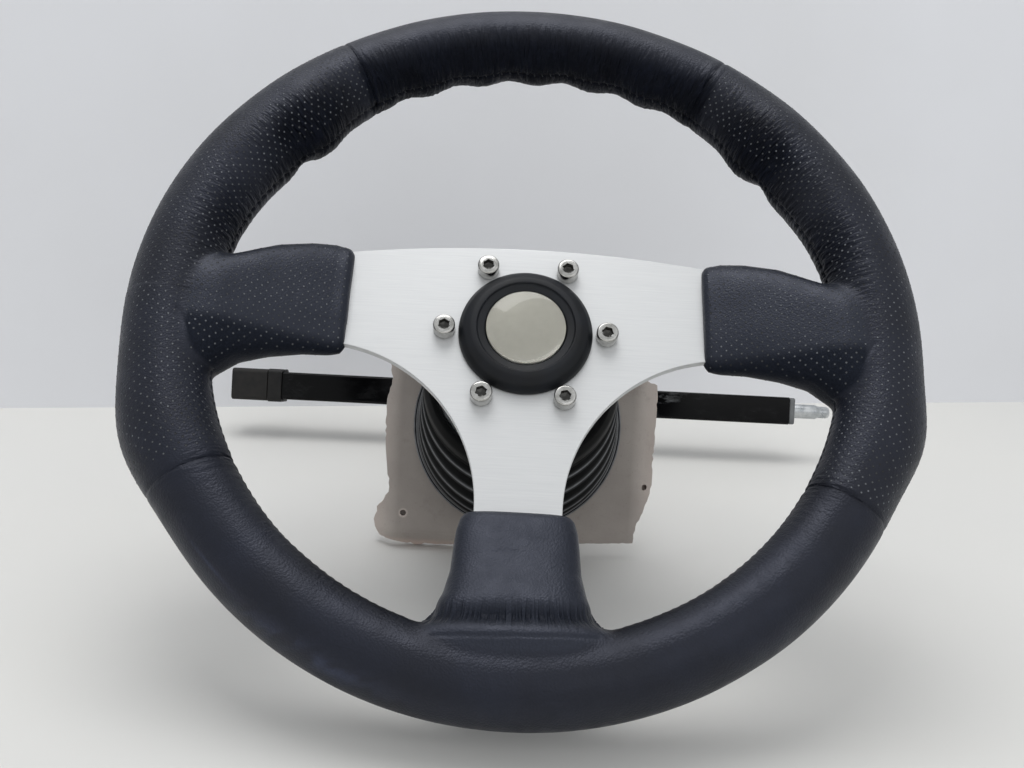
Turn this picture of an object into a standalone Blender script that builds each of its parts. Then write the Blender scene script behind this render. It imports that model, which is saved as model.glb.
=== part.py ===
"""Boat steering helm: a tilting three-spoke wheel on a rack and pinion gearbox.

Metres, +Z up. The origin is the tilt pivot, where the steering axis meets the face
of the dash panel. The driver sits on the -Y side, and the rack runs along X.
Each local frame below has X across the boat, Y up along the panel and Z along the
steering axis towards the driver.
"""
import math

import bmesh
import bpy
from mathutils import Matrix, Vector

# Attitude of the axes
PANEL_RISE = math.radians(14.7)
TILT_NOTCHES = 5
NOTCH_STEP = math.radians(12.0)
TILT_UP = NOTCH_STEP * (TILT_NOTCHES - 1) / 2

# Clearances and facets
GAP = 0.0003
PIN_PLAY = 0.0003
BORE_PLAY = 0.0004
ROUND = 20
SMALL_ROUND = 12
SCREW_SIDES = 10

# Steering wheel
RIM_RADIUS = 0.1562
GRIP_RADIUS = 0.0173
RIM_RISE = 0.0117
RIM_CORE_RADIUS = 0.005
HUB_DISTANCE = 0.114
SEAM_ANGLES = (57.0, 124.0, 209.5, 330.5)
RING_STEP = 6.5
GRIP_SIDES = 14
THUMB_REST = 0.0042
PALM_SWELL = 0.0032
GRIP_SWELL = 0.0022
FINGER_WAVE = 0.0011

# Three-spoke plate
PLATE = 0.004
SPOKE_REACH = 0.083
PLATE_TOP = 0.0445
PLATE_TOP_AT_SLEEVE = 0.0385
CUTOUT_RADIUS = 0.0752
CUTOUT_CENTRE = (0.094, -0.084)
SPOKE_BEND_START = 0.088
SPOKE_BEND_END = 0.140
SPOKE_TIP_HALF = 0.018
FOOT_TIP_HALF = 0.016
SCREW_CIRCLE = 0.037
SCREW_COUNT = 6
SCREW_SHANK = 0.0029
SCREW_LENGTH = 0.016
SCREW_HEAD = 0.005
SCREW_HEAD_HEIGHT = 0.006
SOCKET_WIDTH = 0.005
HUB_HOLE = 0.020

# Sleeves over the spokes
SLEEVE_PAD = 0.005

# Centre cap and badge
CAP_RADIUS = 0.03065
CAP_HEIGHT = 0.0080
LIP_RADIUS = 0.0219
BADGE_RADIUS = 0.018
BADGE_FLOOR = 0.0045
BADGE_THICK = 0.0014
DOME_HEIGHT = 0.0018

# Hub adapter and steering shaft
ADAPTER_RADIUS = 0.0445
ADAPTER_BARREL = 0.025
ADAPTER_LENGTH = 0.0397
SHAFT_RADIUS = 0.0095
TAPER_END_RADIUS = 0.0078
THREAD_RADIUS = 0.0062
NUT_WIDTH = 0.019
NUT_HEIGHT = 0.011
WASHER_RADIUS = 0.012
WASHER_THICK = 0.0015
NUT_POCKET = 0.0145

# Ball and trunnion joint at the tilt pivot
BALL_RADIUS = 0.008
CUP_OUTER = 0.013
CUP_MOUTH = 0.006
CUP_FLOOR = -0.0095
CUP_BACK = -0.014
TRUNNION_RADIUS = 0.002
TRUNNION_PLAY = 0.00065
NECK_RADIUS = 0.0045
DRIVE_RADIUS = 0.008

# Tilt head and its bracket
HEAD_CHEEK_IN = 0.016
CHEEK_THICK = 0.0045
PIVOT_BOSS = 0.012
PIVOT_PIN = 0.005
BARREL_RADIUS = 0.024
BARREL_BACK = 0.034
BARREL_FRONT = 0.064
BEARING_RADIUS = 0.014
BEARING_WIDTH = 0.0095
LOBE_RADIUS = 0.028
NOTCH_RADIUS = 0.0016
PAWL_ANGLE = math.radians(-62.0)
FLANGE_RADIUS = 0.058
FLANGE_THICK = 0.005
BRACKET_BACK = -0.024
BRACKET_HALF = 0.025
BOLT_CIRCLE = 0.052
BOLT_SHANK = 0.0029
BOLT_HEAD = 0.0046
BOLT_HEAD_HEIGHT = 0.0026
BOLT_LENGTH = 0.013

# Latch lever
LATCH_PIVOT = (-0.0315, 0.050)
LATCH_BOSS = 0.004
LEVER_ROD = 0.003
KNOB_RADIUS = 0.007
KNOB_LENGTH = 0.018
PAWL_DEPTH = 0.0024
LEVER_DROP = 0.072
LEVER_REACH = 0.080

# Head cover and boot
COVER_RADIUS = 0.043
COVER_BACK = 0.058
COVER_THICK = 0.003
COVER_LIP = 0.063
SEAT_RADIUS = BARREL_RADIUS + 0.002
BOOT_RADIUS = 0.0576
BOOT_RIM_HEIGHT = 0.005
BOOT_WALL = 0.0015
BOOT_RIM_WALL = 0.0007
BOOT_CEILING = 0.0020
PLEATS = 6
PLEAT_START = 0.0075
PLEAT_END = 0.052
PLEAT_RADIUS = 0.0555
PLEAT_TAPER = 0.0010
PLEAT_DEPTH = 0.0035
BOOT_SIDES = 24

# Dash panel
PANEL_THICK = 0.005
PANEL_HOLE = 0.0465
LEFT_BEND = -0.068
RIGHT_BEND = 0.0685
LOWER_BEND = -0.0645
BEND_SLOPE = 0.9
PANEL_SCREWS = ((-0.0614, -0.0523), (0.0735, -0.0320))
PANEL_SCREW_RADIUS = 0.0016

# Rack and pinion, 16 diametral pitch
MODULE = 0.0254 / 16
PINION_TEETH = 12
PRESSURE_ANGLE = math.radians(20.0)
PINION_ADDENDUM = 0.9
RACK_ADDENDUM = 0.7
DEDENDUM = 1.2
BACKLASH = 0.00022
PINION_WIDTH = 0.014
RACK_TEETH = 38
RACK_BACK = 0.0206
RACK_DEPTH = 0.012
RACK_LEFT = -0.103
RACK_RIGHT = 0.097
STUD_RADIUS = 0.003
STUD_LENGTH = 0.009
RACK_AXIS = -0.180
TUBE_SIZE = 0.020
TUBE_WALL = 0.0015
TUBE_HEIGHT = 0.0125
TUBE_HALF = 0.201
TUBE_CORNER = 0.002
CAP_REACH = 0.0207
CAP_START = CAP_REACH - TUBE_HALF
CAP_WALL = 0.0012
CAP_END_THICK = 0.005
COLLAR_WIDTH = 0.010
PLUG_THICK = 0.004
FITTING_RADIUS = 0.00525
FITTING_LENGTH = 0.0317
FITTING_END = TUBE_HALF + FITTING_LENGTH
FITTING_BORE = 0.0022

# Gearbox housing
HOUSING_HALF = 0.034
HOUSING_LOW = -0.020
HOUSING_HIGH = 0.027
HOUSING_FRONT = -0.160
HOUSING_BACK = -0.196
NECK_OUTER = 0.015
NECK_FLANGE = 0.027
NECK_FLANGE_THICK = 0.005
NECK_SCREWS = 0.0205
NECK_SCREW_SHANK = 0.0023
NECK_SCREW_LENGTH = 0.009
NECK_SCREW_HEAD = 0.0040
BUSH_RADIUS = 0.011
BUSH_LENGTH = 0.010
PINION_BORE = 0.013
REAR_SHAFT = 0.006
COVER_PLATE = 0.020
COVER_PLATE_THICK = 0.004
COVER_BOSS = 0.012
COVER_BOSS_LENGTH = 0.007
COVER_SCREWS = 0.0165
COVER_SCREW_SHANK = 0.0018
COVER_SCREW_LENGTH = 0.009
COVER_SCREW_HEAD = 0.0034
COVER_SCREW_HEIGHT = 0.0026

# Values that follow from the dimensions above
PITCH_RADIUS = MODULE * PINION_TEETH / 2
HEAD_CHEEK_OUT = HEAD_CHEEK_IN + CHEEK_THICK
BRACKET_CHEEK_IN = HEAD_CHEEK_OUT + GAP
BRACKET_CHEEK_OUT = BRACKET_CHEEK_IN + CHEEK_THICK
PANEL_BACK = -PANEL_THICK
FLANGE_FRONT = PANEL_BACK - GAP
FLANGE_BACK = FLANGE_FRONT - FLANGE_THICK
CUP_INNER = BALL_RADIUS + BORE_PLAY
NECK_FRONT = BRACKET_BACK - GAP
ADAPTER_FRONT = -PLATE - GAP
ADAPTER_BACK = ADAPTER_FRONT - ADAPTER_LENGTH
CORE_EDGE = RIM_RADIUS - RIM_CORE_RADIUS - GAP
CAP_INSIDE = TUBE_SIZE / 2 + GAP


def clear_file():
    """Remove every object of the open file and return the two collections."""
    for item in list(bpy.data.objects):
        bpy.data.objects.remove(item, do_unlink=True)
    part = bpy.data.collections.new("boat_steering_helm")
    cutters = bpy.data.collections.new("cutters")
    for group in (part, cutters):
        bpy.context.scene.collection.children.link(group)
    return part, cutters


PART, CUTTERS = clear_file()


def material(name, colour, roughness, metallic=0.0, alpha=1.0):
    """A Principled material with one colour."""
    finish = bpy.data.materials.new(name)
    finish.use_nodes = True
    shader = finish.node_tree.nodes["Principled BSDF"]
    shader.inputs["Base Color"].default_value = (*colour, 1.0)
    shader.inputs["Roughness"].default_value = roughness
    shader.inputs["Metallic"].default_value = metallic
    shader.inputs["Alpha"].default_value = alpha
    finish.diffuse_color = (*colour, alpha)
    return finish


LEATHER = material("leather", (0.016, 0.018, 0.024), 0.5)
ALUMINIUM = material("brushed_aluminium", (0.69, 0.70, 0.71), 0.35, 1.0)
STAINLESS = material("stainless_steel", (0.60, 0.60, 0.59), 0.2, 1.0)
STEEL = material("plain_steel", (0.35, 0.35, 0.36), 0.4, 1.0)
BLACK_RUBBER = material("black_rubber", (0.012, 0.013, 0.015), 0.6)
BLACK_PLASTIC = material("black_plastic", (0.020, 0.021, 0.024), 0.45)
GREY_PLASTIC = material("grey_plastic", (0.070, 0.072, 0.072), 0.55)
BADGE_GREY = material("badge_grey", (0.27, 0.26, 0.23), 0.35)
CLEAR_DOME = material("clear_dome", (0.85, 0.85, 0.85), 0.05, 0.0, 0.35)
GELCOAT = material("gelcoat", (0.26, 0.235, 0.215), 0.4)
CASTING = material("cast_alloy", (0.30, 0.30, 0.31), 0.5, 1.0)
GLOSS_BLACK = material("gloss_black_paint", (0.008, 0.008, 0.009), 0.15)
BRONZE = material("bronze", (0.45, 0.28, 0.12), 0.4, 1.0)


def frame(name, parent, location=(0, 0, 0), turn=0.0):
    """An empty that carries pieces, turned about its own X axis."""
    empty = bpy.data.objects.new(name, None)
    empty.parent = parent
    empty.location = location
    empty.rotation_euler = (turn, 0, 0)
    PART.objects.link(empty)
    return empty


HELM = frame("helm_frame", None, turn=math.pi / 2 - PANEL_RISE)
PINION_AXIS = frame("pinion_axis", HELM)
RACK_SLIDE = frame("rack_slide", HELM, (0, 0, RACK_AXIS))
TILT_AXIS = frame("tilt_axis", HELM, turn=-TILT_UP)
LATCH_AXIS = frame("latch_axis", TILT_AXIS, (0, *LATCH_PIVOT))
WHEEL_AXIS = frame("wheel_axis", TILT_AXIS, (0, 0, HUB_DISTANCE))


def piece(name, mesh, parent, finish, smooth=True):
    """Link a mesh as one named piece; without a finish it is a cutter."""
    item = bpy.data.objects.new(name, mesh)
    item.parent = parent
    if finish is None:
        item.hide_render = True
        item.display_type = "WIRE"
        CUTTERS.objects.link(item)
    else:
        mesh.materials.append(finish)
        PART.objects.link(item)
    if smooth:
        mesh.shade_smooth()
        mesh.set_sharp_from_angle(angle=math.radians(35))
    return item


def boolean(target, tool, operation):
    """Join a tool to a piece or cut it away."""
    step = target.modifiers.new(tool.name, "BOOLEAN")
    step.operation = operation
    step.object = tool
    step.solver = "EXACT"


def cut(target, *tools):
    for tool in tools:
        boolean(target, tool, "DIFFERENCE")


def join(target, *tools):
    for tool in tools:
        boolean(target, tool, "UNION")


def mesh_from(name, work):
    """Close a bmesh into a mesh whose faces point out."""
    bmesh.ops.recalc_face_normals(work, faces=work.faces)
    mesh = bpy.data.meshes.new(name)
    work.to_mesh(mesh)
    work.free()
    return mesh


def box(name, low, high, parent, finish, edge=0.0):
    """A box between two corners, with rounded edges if edge is set."""
    work = bmesh.new()
    bmesh.ops.create_cube(work, size=1.0)
    size = Vector(high) - Vector(low)
    centre = (Vector(high) + Vector(low)) / 2
    bmesh.ops.scale(work, vec=size, verts=work.verts)
    bmesh.ops.translate(work, vec=centre, verts=work.verts)
    item = piece(name, mesh_from(name, work), parent, finish, smooth=False)
    if edge:
        bevel = item.modifiers.new("edge", "BEVEL")
        bevel.width = edge
        bevel.segments = 2
    return item


def signed_area(points):
    following = points[1:] + points[:1]
    return sum(a[0] * b[1] - b[0] * a[1] for a, b in zip(points, following)) / 2


def turned(name, profile, parent, finish, steps=ROUND, lie_along_x=False):
    """Turn a profile of (radius, height) points about the local Z axis, or about X."""
    points = list(profile)
    if signed_area(points) > 0:
        points.reverse()
    solid_core = min(point[0] for point in points) == 0
    if solid_core:
        while not (points[0][0] == 0 and points[-1][0] == 0):
            points.append(points.pop(0))
    mesh = bpy.data.meshes.new(name)
    edges = [(i, i + 1) for i in range(len(points) - 1)]
    if not solid_core:
        edges.append((len(points) - 1, 0))
    mesh.from_pydata([(radius, 0, height) for radius, height in points], edges, [])
    item = piece(name, mesh, parent, finish, smooth=False)
    screw = item.modifiers.new("turn", "SCREW")
    screw.steps = screw.render_steps = steps
    screw.use_merge_vertices = True
    screw.merge_threshold = 0.00001
    screw.use_smooth_shade = False
    if lie_along_x:
        item.rotation_euler = (0, math.pi / 2, 0)
    return item


def pins(name, places, radius, low, high, parent, finish, steps=SMALL_ROUND, turn=0.0):
    """Cylinders along the local Z axis, one at each place."""
    work = bmesh.new()
    for x, y in places:
        spot = Matrix.Translation((x, y, (low + high) / 2)) @ Matrix.Rotation(turn, 4, "Z")
        bmesh.ops.create_cone(work, cap_ends=True, segments=steps, radius1=radius,
                              radius2=radius, depth=high - low, matrix=spot)
    return piece(name, mesh_from(name, work), parent, finish)


def cross_pin(name, radius, left, right, y, z, parent, finish, steps=SMALL_ROUND):
    """A cylinder along the local X axis."""
    work = bmesh.new()
    spot = Matrix.Translation(((left + right) / 2, y, z)) @ Matrix.Rotation(math.pi / 2, 4, "Y")
    bmesh.ops.create_cone(work, cap_ends=True, segments=steps, radius1=radius,
                          radius2=radius, depth=right - left, matrix=spot)
    return piece(name, mesh_from(name, work), parent, finish)


# A side outline has Z to the right and Y up, and its thickness lies along X.
SIDE_VIEW = Matrix(((0, 0, -1, 0), (0, 1, 0, 0), (1, 0, 0, 0), (0, 0, 0, 1)))


def prism(name, outlines, low, high, parent, finish, side=False):
    """A plate from flat outlines, the first its edge and the others its holes."""
    curve = bpy.data.curves.new(name, "CURVE")
    curve.dimensions = "2D"
    curve.fill_mode = "BOTH"
    curve.extrude = (high - low) / 2
    for outline in outlines:
        spline = curve.splines.new("POLY")
        spline.points.add(len(outline) - 1)
        for point, (x, y) in zip(spline.points, outline):
            point.co = (x, y, 0, 1)
        spline.use_cyclic_u = True
    flat = bpy.data.objects.new(name + "_outline", curve)
    CUTTERS.objects.link(flat)
    bpy.context.view_layer.update()
    depsgraph = bpy.context.evaluated_depsgraph_get()
    mesh = bpy.data.meshes.new_from_object(flat.evaluated_get(depsgraph))
    bpy.data.objects.remove(flat, do_unlink=True)
    bpy.data.curves.remove(curve)
    work = bmesh.new()
    work.from_mesh(mesh)
    bpy.data.meshes.remove(mesh)
    bmesh.ops.remove_doubles(work, verts=work.verts, dist=0.000001)
    middle = (low + high) / 2
    if side:
        bmesh.ops.translate(work, vec=(0, 0, -middle), verts=work.verts)
        bmesh.ops.transform(work, matrix=SIDE_VIEW, verts=work.verts)
    else:
        bmesh.ops.translate(work, vec=(0, 0, middle), verts=work.verts)
    return piece(name, mesh_from(name, work), parent, finish, smooth=False)


def rod(name, points, radius, parent, finish):
    """A round bar along a path, as a welded mesh."""
    curve = bpy.data.curves.new(name, "CURVE")
    curve.dimensions = "3D"
    curve.bevel_depth = radius
    curve.bevel_resolution = 2
    curve.use_fill_caps = True
    spline = curve.splines.new("POLY")
    spline.points.add(len(points) - 1)
    for point, place in zip(spline.points, points):
        point.co = (*place, 1)
    bar = bpy.data.objects.new(name + "_path", curve)
    CUTTERS.objects.link(bar)
    bpy.context.view_layer.update()
    depsgraph = bpy.context.evaluated_depsgraph_get()
    mesh = bpy.data.meshes.new_from_object(bar.evaluated_get(depsgraph))
    bpy.data.objects.remove(bar, do_unlink=True)
    work = bmesh.new()
    work.from_mesh(mesh)
    bpy.data.meshes.remove(mesh)
    bmesh.ops.remove_doubles(work, verts=work.verts, dist=0.000001)
    return piece(name, mesh_from(name, work), parent, finish)


def loft(name, rings, parent, finish, closed=False):
    """Skin rings of equally many points; open ends are capped."""
    work = bmesh.new()
    loops = [[work.verts.new(point) for point in ring] for ring in rings]
    pairs = list(zip(loops, loops[1:]))
    if closed:
        pairs.append((loops[-1], loops[0]))
    for near, far in pairs:
        for i in range(len(near)):
            j = (i + 1) % len(near)
            work.faces.new((near[i], near[j], far[j], far[i]))
    if not closed:
        work.faces.new(loops[0])
        work.faces.new(loops[-1])
    return piece(name, mesh_from(name, work), parent, finish)


def circle(radius, steps, centre=(0.0, 0.0), start=0.0):
    """Points of a full circle."""
    angles = [start + 2 * math.pi * i / steps for i in range(steps)]
    return [(centre[0] + radius * math.cos(a), centre[1] + radius * math.sin(a)) for a in angles]


def arc(radius, start, end, steps, centre=(0.0, 0.0)):
    """Points of an arc, both ends included; angles in radians."""
    angles = [start + (end - start) * i / steps for i in range(steps + 1)]
    return [(centre[0] + radius * math.cos(a), centre[1] + radius * math.sin(a)) for a in angles]


def ring_places(radius, count, start=0.0):
    return circle(radius, count, start=start)


def rectangle(left, right, low, high):
    return [(left, low), (right, low), (right, high), (left, high)]


def rounded_square(half, corner, centre):
    """A square outline with rounded corners."""
    points = []
    for quarter in range(4):
        turn = quarter * math.pi / 2
        sign_x = 1 if quarter in (0, 3) else -1
        sign_y = 1 if quarter in (0, 1) else -1
        spot = (centre[0] + sign_x * (half - corner), centre[1] + sign_y * (half - corner))
        points += arc(corner, turn, turn + math.pi / 2, 3, spot)
    return points


# Steering wheel

def spoke_rise(distance):
    """Height that a spoke has gained at a distance from the hub."""
    share = (distance - SPOKE_BEND_START) / (SPOKE_BEND_END - SPOKE_BEND_START)
    return (RIM_RISE + PLATE / 2) * min(max(share, 0.0), 1.0)


def spider_outline(margin, reach):
    """Outline of the three-spoke plate, grown by a margin, out to a reach."""
    sag = PLATE_TOP - PLATE_TOP_AT_SLEEVE
    top_radius = (SPOKE_REACH ** 2 + sag ** 2) / (2 * sag)
    half_sweep = math.asin(SPOKE_REACH / top_radius)
    top_centre = (0.0, PLATE_TOP + margin - top_radius)
    top = arc(top_radius, math.pi / 2, math.pi / 2 - half_sweep, 4, top_centre)
    tip_angle = math.asin((SPOKE_TIP_HALF + 2 * margin) / reach)
    tip = arc(reach, tip_angle, -tip_angle, 2)
    bite = arc(CUTOUT_RADIUS - margin, math.radians(96), math.radians(180), 9, CUTOUT_CENTRE)
    foot_angle = math.asin((FOOT_TIP_HALF + margin) / reach)
    foot = arc(reach, -math.pi / 2 + foot_angle, -math.pi / 2, 1)
    right = top + tip + bite + foot
    left = [(-x, y) for x, y in reversed(right[1:-1])]
    return right + left


def spider_solid(name, finish, margin=0.0, reach=CORE_EDGE):
    """The plate with its spokes bent forward to the rim's core."""
    item = prism(name, [spider_outline(margin, reach)], -PLATE - margin, margin,
                 WHEEL_AXIS, finish)
    work = bmesh.new()
    work.from_mesh(item.data)
    for distance in (SPOKE_BEND_START, SPOKE_BEND_END):
        for place, direction in (((distance, 0, 0), (1, 0, 0)), ((-distance, 0, 0), (-1, 0, 0)),
                                 ((0, -distance, 0), (0, -1, 0))):
            everything = work.verts[:] + work.edges[:] + work.faces[:]
            bmesh.ops.bisect_plane(work, geom=everything, plane_co=place, plane_no=direction)
    for vertex in work.verts:
        vertex.co.z += spoke_rise(max(abs(vertex.co.x), -vertex.co.y))
    work.to_mesh(item.data)
    work.free()
    return item


def spider():
    plate = spider_solid("spider", ALUMINIUM)
    cut(plate, pins("spider_hub_hole", [(0, 0)], HUB_HOLE, -2 * PLATE, PLATE, WHEEL_AXIS,
                    None, ROUND))
    cut(plate, pins("spider_screw_holes", ring_places(SCREW_CIRCLE, SCREW_COUNT),
                    SCREW_SHANK + PIN_PLAY, -2 * PLATE, PLATE, WHEEL_AXIS, None))


def bump(angle, centre, width):
    """A smooth bump of height one round an angle, in degrees."""
    offset = (angle - centre + 180) % 360 - 180
    return math.exp(-(offset / width) ** 2)


def grip_thickness(angle, around):
    """Radius of the grip at an angle round the rim and an angle round the tube."""
    outward = (1 + math.cos(around)) / 2
    inward = (1 - math.cos(around)) / 2
    side = max(bump(angle, 165, 40), bump(angle, 15, 40))
    radius = GRIP_RADIUS + GRIP_SWELL * side * outward
    radius += THUMB_REST * inward ** 2 * (bump(angle, 38, 12) + bump(angle, 140, 12))
    radius += PALM_SWELL * outward ** 2 * (bump(angle, 191, 8) + bump(angle, 347, 8))
    if 60 < angle % 360 < 120:
        behind = max(0.0, math.cos(around - math.radians(225)))
        radius += FINGER_WAVE * behind * math.cos(math.radians((angle - 90) * 33))
    return radius


def grip_ring(angle):
    """One ring of the rim's tube, centred on the core circle."""
    swing = math.radians(angle)
    points = []
    for i in range(GRIP_SIDES):
        around = 2 * math.pi * i / GRIP_SIDES
        radius = grip_thickness(angle, around)
        out = RIM_RADIUS + radius * math.cos(around)
        points.append((out * math.cos(swing), out * math.sin(swing),
                       RIM_RISE + radius * math.sin(around)))
    return points


def grip_tube(name, start, end, finish):
    """A length of rim between two seams."""
    count = max(1, round((end - start) / RING_STEP))
    margin = math.degrees(GAP / 2 / RIM_RADIUS)
    low, high = start + margin, end - margin
    rings = [grip_ring(low + (high - low) * i / count) for i in range(count + 1)]
    return loft(name, rings, WHEEL_AXIS, finish)


# Sleeve sections: distance from the hub, low edge, high edge, half thickness
SIDE_SLEEVE = ((0.0815, -0.0105, 0.0370, 0.0040), (0.0835, -0.0140, 0.0400, 0.0062),
               (0.0900, -0.0155, 0.0412, 0.0072), (0.1000, -0.0163, 0.0400, 0.0085),
               (0.1150, -0.0195, 0.0372, 0.0105), (0.1270, -0.0240, 0.0325, 0.0128),
               (0.1340, -0.0305, 0.0300, 0.0145), (0.1420, -0.0370, 0.0305, 0.0150),
               (0.1520, -0.0360, 0.0290, 0.0140))
FOOT_SLEEVE = ((0.0850, -0.0215, 0.0215, 0.0040), (0.0870, -0.0240, 0.0240, 0.0062),
               (0.0930, -0.0256, 0.0256, 0.0072), (0.1000, -0.0262, 0.0262, 0.0080),
               (0.1120, -0.0268, 0.0268, 0.0098), (0.1220, -0.0290, 0.0290, 0.0120),
               (0.1300, -0.0340, 0.0340, 0.0140), (0.1370, -0.0420, 0.0420, 0.0150),
               (0.1480, -0.0460, 0.0460, 0.0140))
SLEEVE_SIDES = 14


def sleeve_ring(distance, low, high, half):
    """A rounded section round the spoke: (across, height) at a distance from the hub."""
    middle = (low + high) / 2
    rise = spoke_rise(distance) - PLATE / 2
    points = []
    for i in range(SLEEVE_SIDES):
        turn = 2 * math.pi * (i + 0.5) / SLEEVE_SIDES
        wide = math.copysign(abs(math.cos(turn)) ** 0.55, math.cos(turn))
        deep = math.copysign(abs(math.sin(turn)) ** 0.8, math.sin(turn))
        points.append((middle + wide * (high - low) / 2, rise + deep * (half + PLATE / 4)))
    return points


def sleeve(name, kind):
    """A padded sleeve over one spoke; kind is left, right or foot."""
    rings = []
    for distance, low, high, half in FOOT_SLEEVE if kind == "foot" else SIDE_SLEEVE:
        section = sleeve_ring(distance, low, high, half)
        if kind == "foot":
            rings.append([(across, -distance, height) for across, height in section])
        else:
            side = 1 if kind == "right" else -1
            rings.append([(side * distance, across, height) for across, height in section])
    return loft(name, rings, WHEEL_AXIS, None)


def grips():
    """Four leather-covered lengths of rim, three with the sleeve of a spoke."""
    right_low, left_high, left_low, foot_high = SEAM_ANGLES
    core = torus("core_channel", RIM_RADIUS, RIM_CORE_RADIUS + GAP, RIM_RISE, None)
    spokes = spider_solid("spoke_channel", None, GAP, CORE_EDGE + 4 * GAP)
    lengths = (("grip_top", right_low, left_high, None), ("grip_left", left_high, left_low, "left"),
               ("grip_bottom", left_low, foot_high, "foot"),
               ("grip_right", foot_high, right_low + 360, "right"))
    for name, start, end, kind in lengths:
        tube = grip_tube(name, start, end, LEATHER)
        if kind:
            join(tube, sleeve(name + "_sleeve", kind))
            cut(tube, spokes)
        cut(tube, core)


def torus(name, major, minor, height, finish, steps=48, sides=8):
    """A ring lying in the wheel's plane."""
    bpy.ops.mesh.primitive_torus_add(major_radius=major, minor_radius=minor,
                                     major_segments=steps, minor_segments=sides)
    made = bpy.context.object
    mesh = made.data
    mesh.name = name
    bpy.data.objects.remove(made, do_unlink=True)
    mesh.transform(Matrix.Translation((0, 0, height)))
    return piece(name, mesh, WHEEL_AXIS, finish)


def wheel_screws():
    """Socket head screws that hold the spider to the hub adapter."""
    for index, place in enumerate(ring_places(SCREW_CIRCLE, SCREW_COUNT)):
        name = f"wheel_screw_{index + 1}"
        top = GAP + SCREW_HEAD_HEIGHT
        bevel = SCREW_HEAD_HEIGHT / 10
        screw = turned(name, [(0, GAP - SCREW_LENGTH), (SCREW_SHANK, GAP - SCREW_LENGTH),
                              (SCREW_SHANK, GAP), (SCREW_HEAD, GAP), (SCREW_HEAD, top - bevel),
                              (SCREW_HEAD - bevel, top), (0, top)],
                       WHEEL_AXIS, STAINLESS, SMALL_ROUND)
        screw.location = (*place, 0)
        socket = pins(name + "_socket", [(0, 0)], SOCKET_WIDTH / math.sqrt(3), top / 2, 2 * top,
                      WHEEL_AXIS, None, 6)
        socket.location = (*place, 0)
        cut(screw, socket)


def centre_cap():
    """The domed cap over the hub, its badge and the badge's clear dome."""
    plug = HUB_HOLE - GAP
    turned("centre_cap",
           [(0, BADGE_FLOOR), (BADGE_RADIUS + GAP, BADGE_FLOOR),
            (BADGE_RADIUS + GAP, CAP_HEIGHT - 0.0015), (LIP_RADIUS, CAP_HEIGHT - 0.0010),
            (LIP_RADIUS + 0.0004, CAP_HEIGHT), (LIP_RADIUS + 0.0030, CAP_HEIGHT - 0.0003),
            (CAP_RADIUS - 0.0025, CAP_HEIGHT - 0.0022), (CAP_RADIUS - 0.0005, GAP + 0.0027),
            (CAP_RADIUS, GAP + 0.0005), (CAP_RADIUS - 0.0004, GAP), (plug, GAP),
            (plug, GAP - PLATE), (plug - 0.002, GAP - PLATE), (plug - 0.002, BADGE_FLOOR / 3),
            (0, BADGE_FLOOR / 3)], WHEEL_AXIS, BLACK_RUBBER, 28)
    base = BADGE_FLOOR + GAP
    top = base + BADGE_THICK
    turned("centre_badge", [(0, base), (BADGE_RADIUS, base), (BADGE_RADIUS, top), (0, top)],
           WHEEL_AXIS, BADGE_GREY, 28)
    foot = top + GAP
    dome = [(BADGE_RADIUS * math.cos(t), foot + DOME_HEIGHT * (0.25 + 0.75 * math.sin(t)))
            for t in (0, math.pi / 8, math.pi / 4, 3 * math.pi / 8)]
    turned("badge_dome", [(0, foot), (BADGE_RADIUS, foot), *dome, (0, foot + DOME_HEIGHT)],
           WHEEL_AXIS, CLEAR_DOME, 28)


def hub_adapter():
    """The turned adapter between the tapered shaft and the spider."""
    pocket_floor = ADAPTER_FRONT - NUT_HEIGHT - WASHER_THICK - 0.005
    bore = SHAFT_RADIUS + BORE_PLAY
    narrow = TAPER_END_RADIUS + BORE_PLAY
    adapter = turned("hub_adapter",
                     [(bore, ADAPTER_BACK), (ADAPTER_BARREL, ADAPTER_BACK),
                      (ADAPTER_BARREL, ADAPTER_FRONT - 0.017),
                      (ADAPTER_BARREL + 0.004, ADAPTER_FRONT - 0.012),
                      (ADAPTER_RADIUS - 0.002, ADAPTER_FRONT - 0.008),
                      (ADAPTER_RADIUS, ADAPTER_FRONT - 0.007), (ADAPTER_RADIUS, ADAPTER_FRONT),
                      (NUT_POCKET, ADAPTER_FRONT), (NUT_POCKET, pocket_floor),
                      (narrow, pocket_floor)], WHEEL_AXIS, CASTING)
    cut(adapter, pins("adapter_screw_holes", ring_places(SCREW_CIRCLE, SCREW_COUNT),
                      SCREW_SHANK + PIN_PLAY, ADAPTER_BACK / 2, ADAPTER_FRONT + 0.001,
                      WHEEL_AXIS, None))
    return pocket_floor


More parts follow.
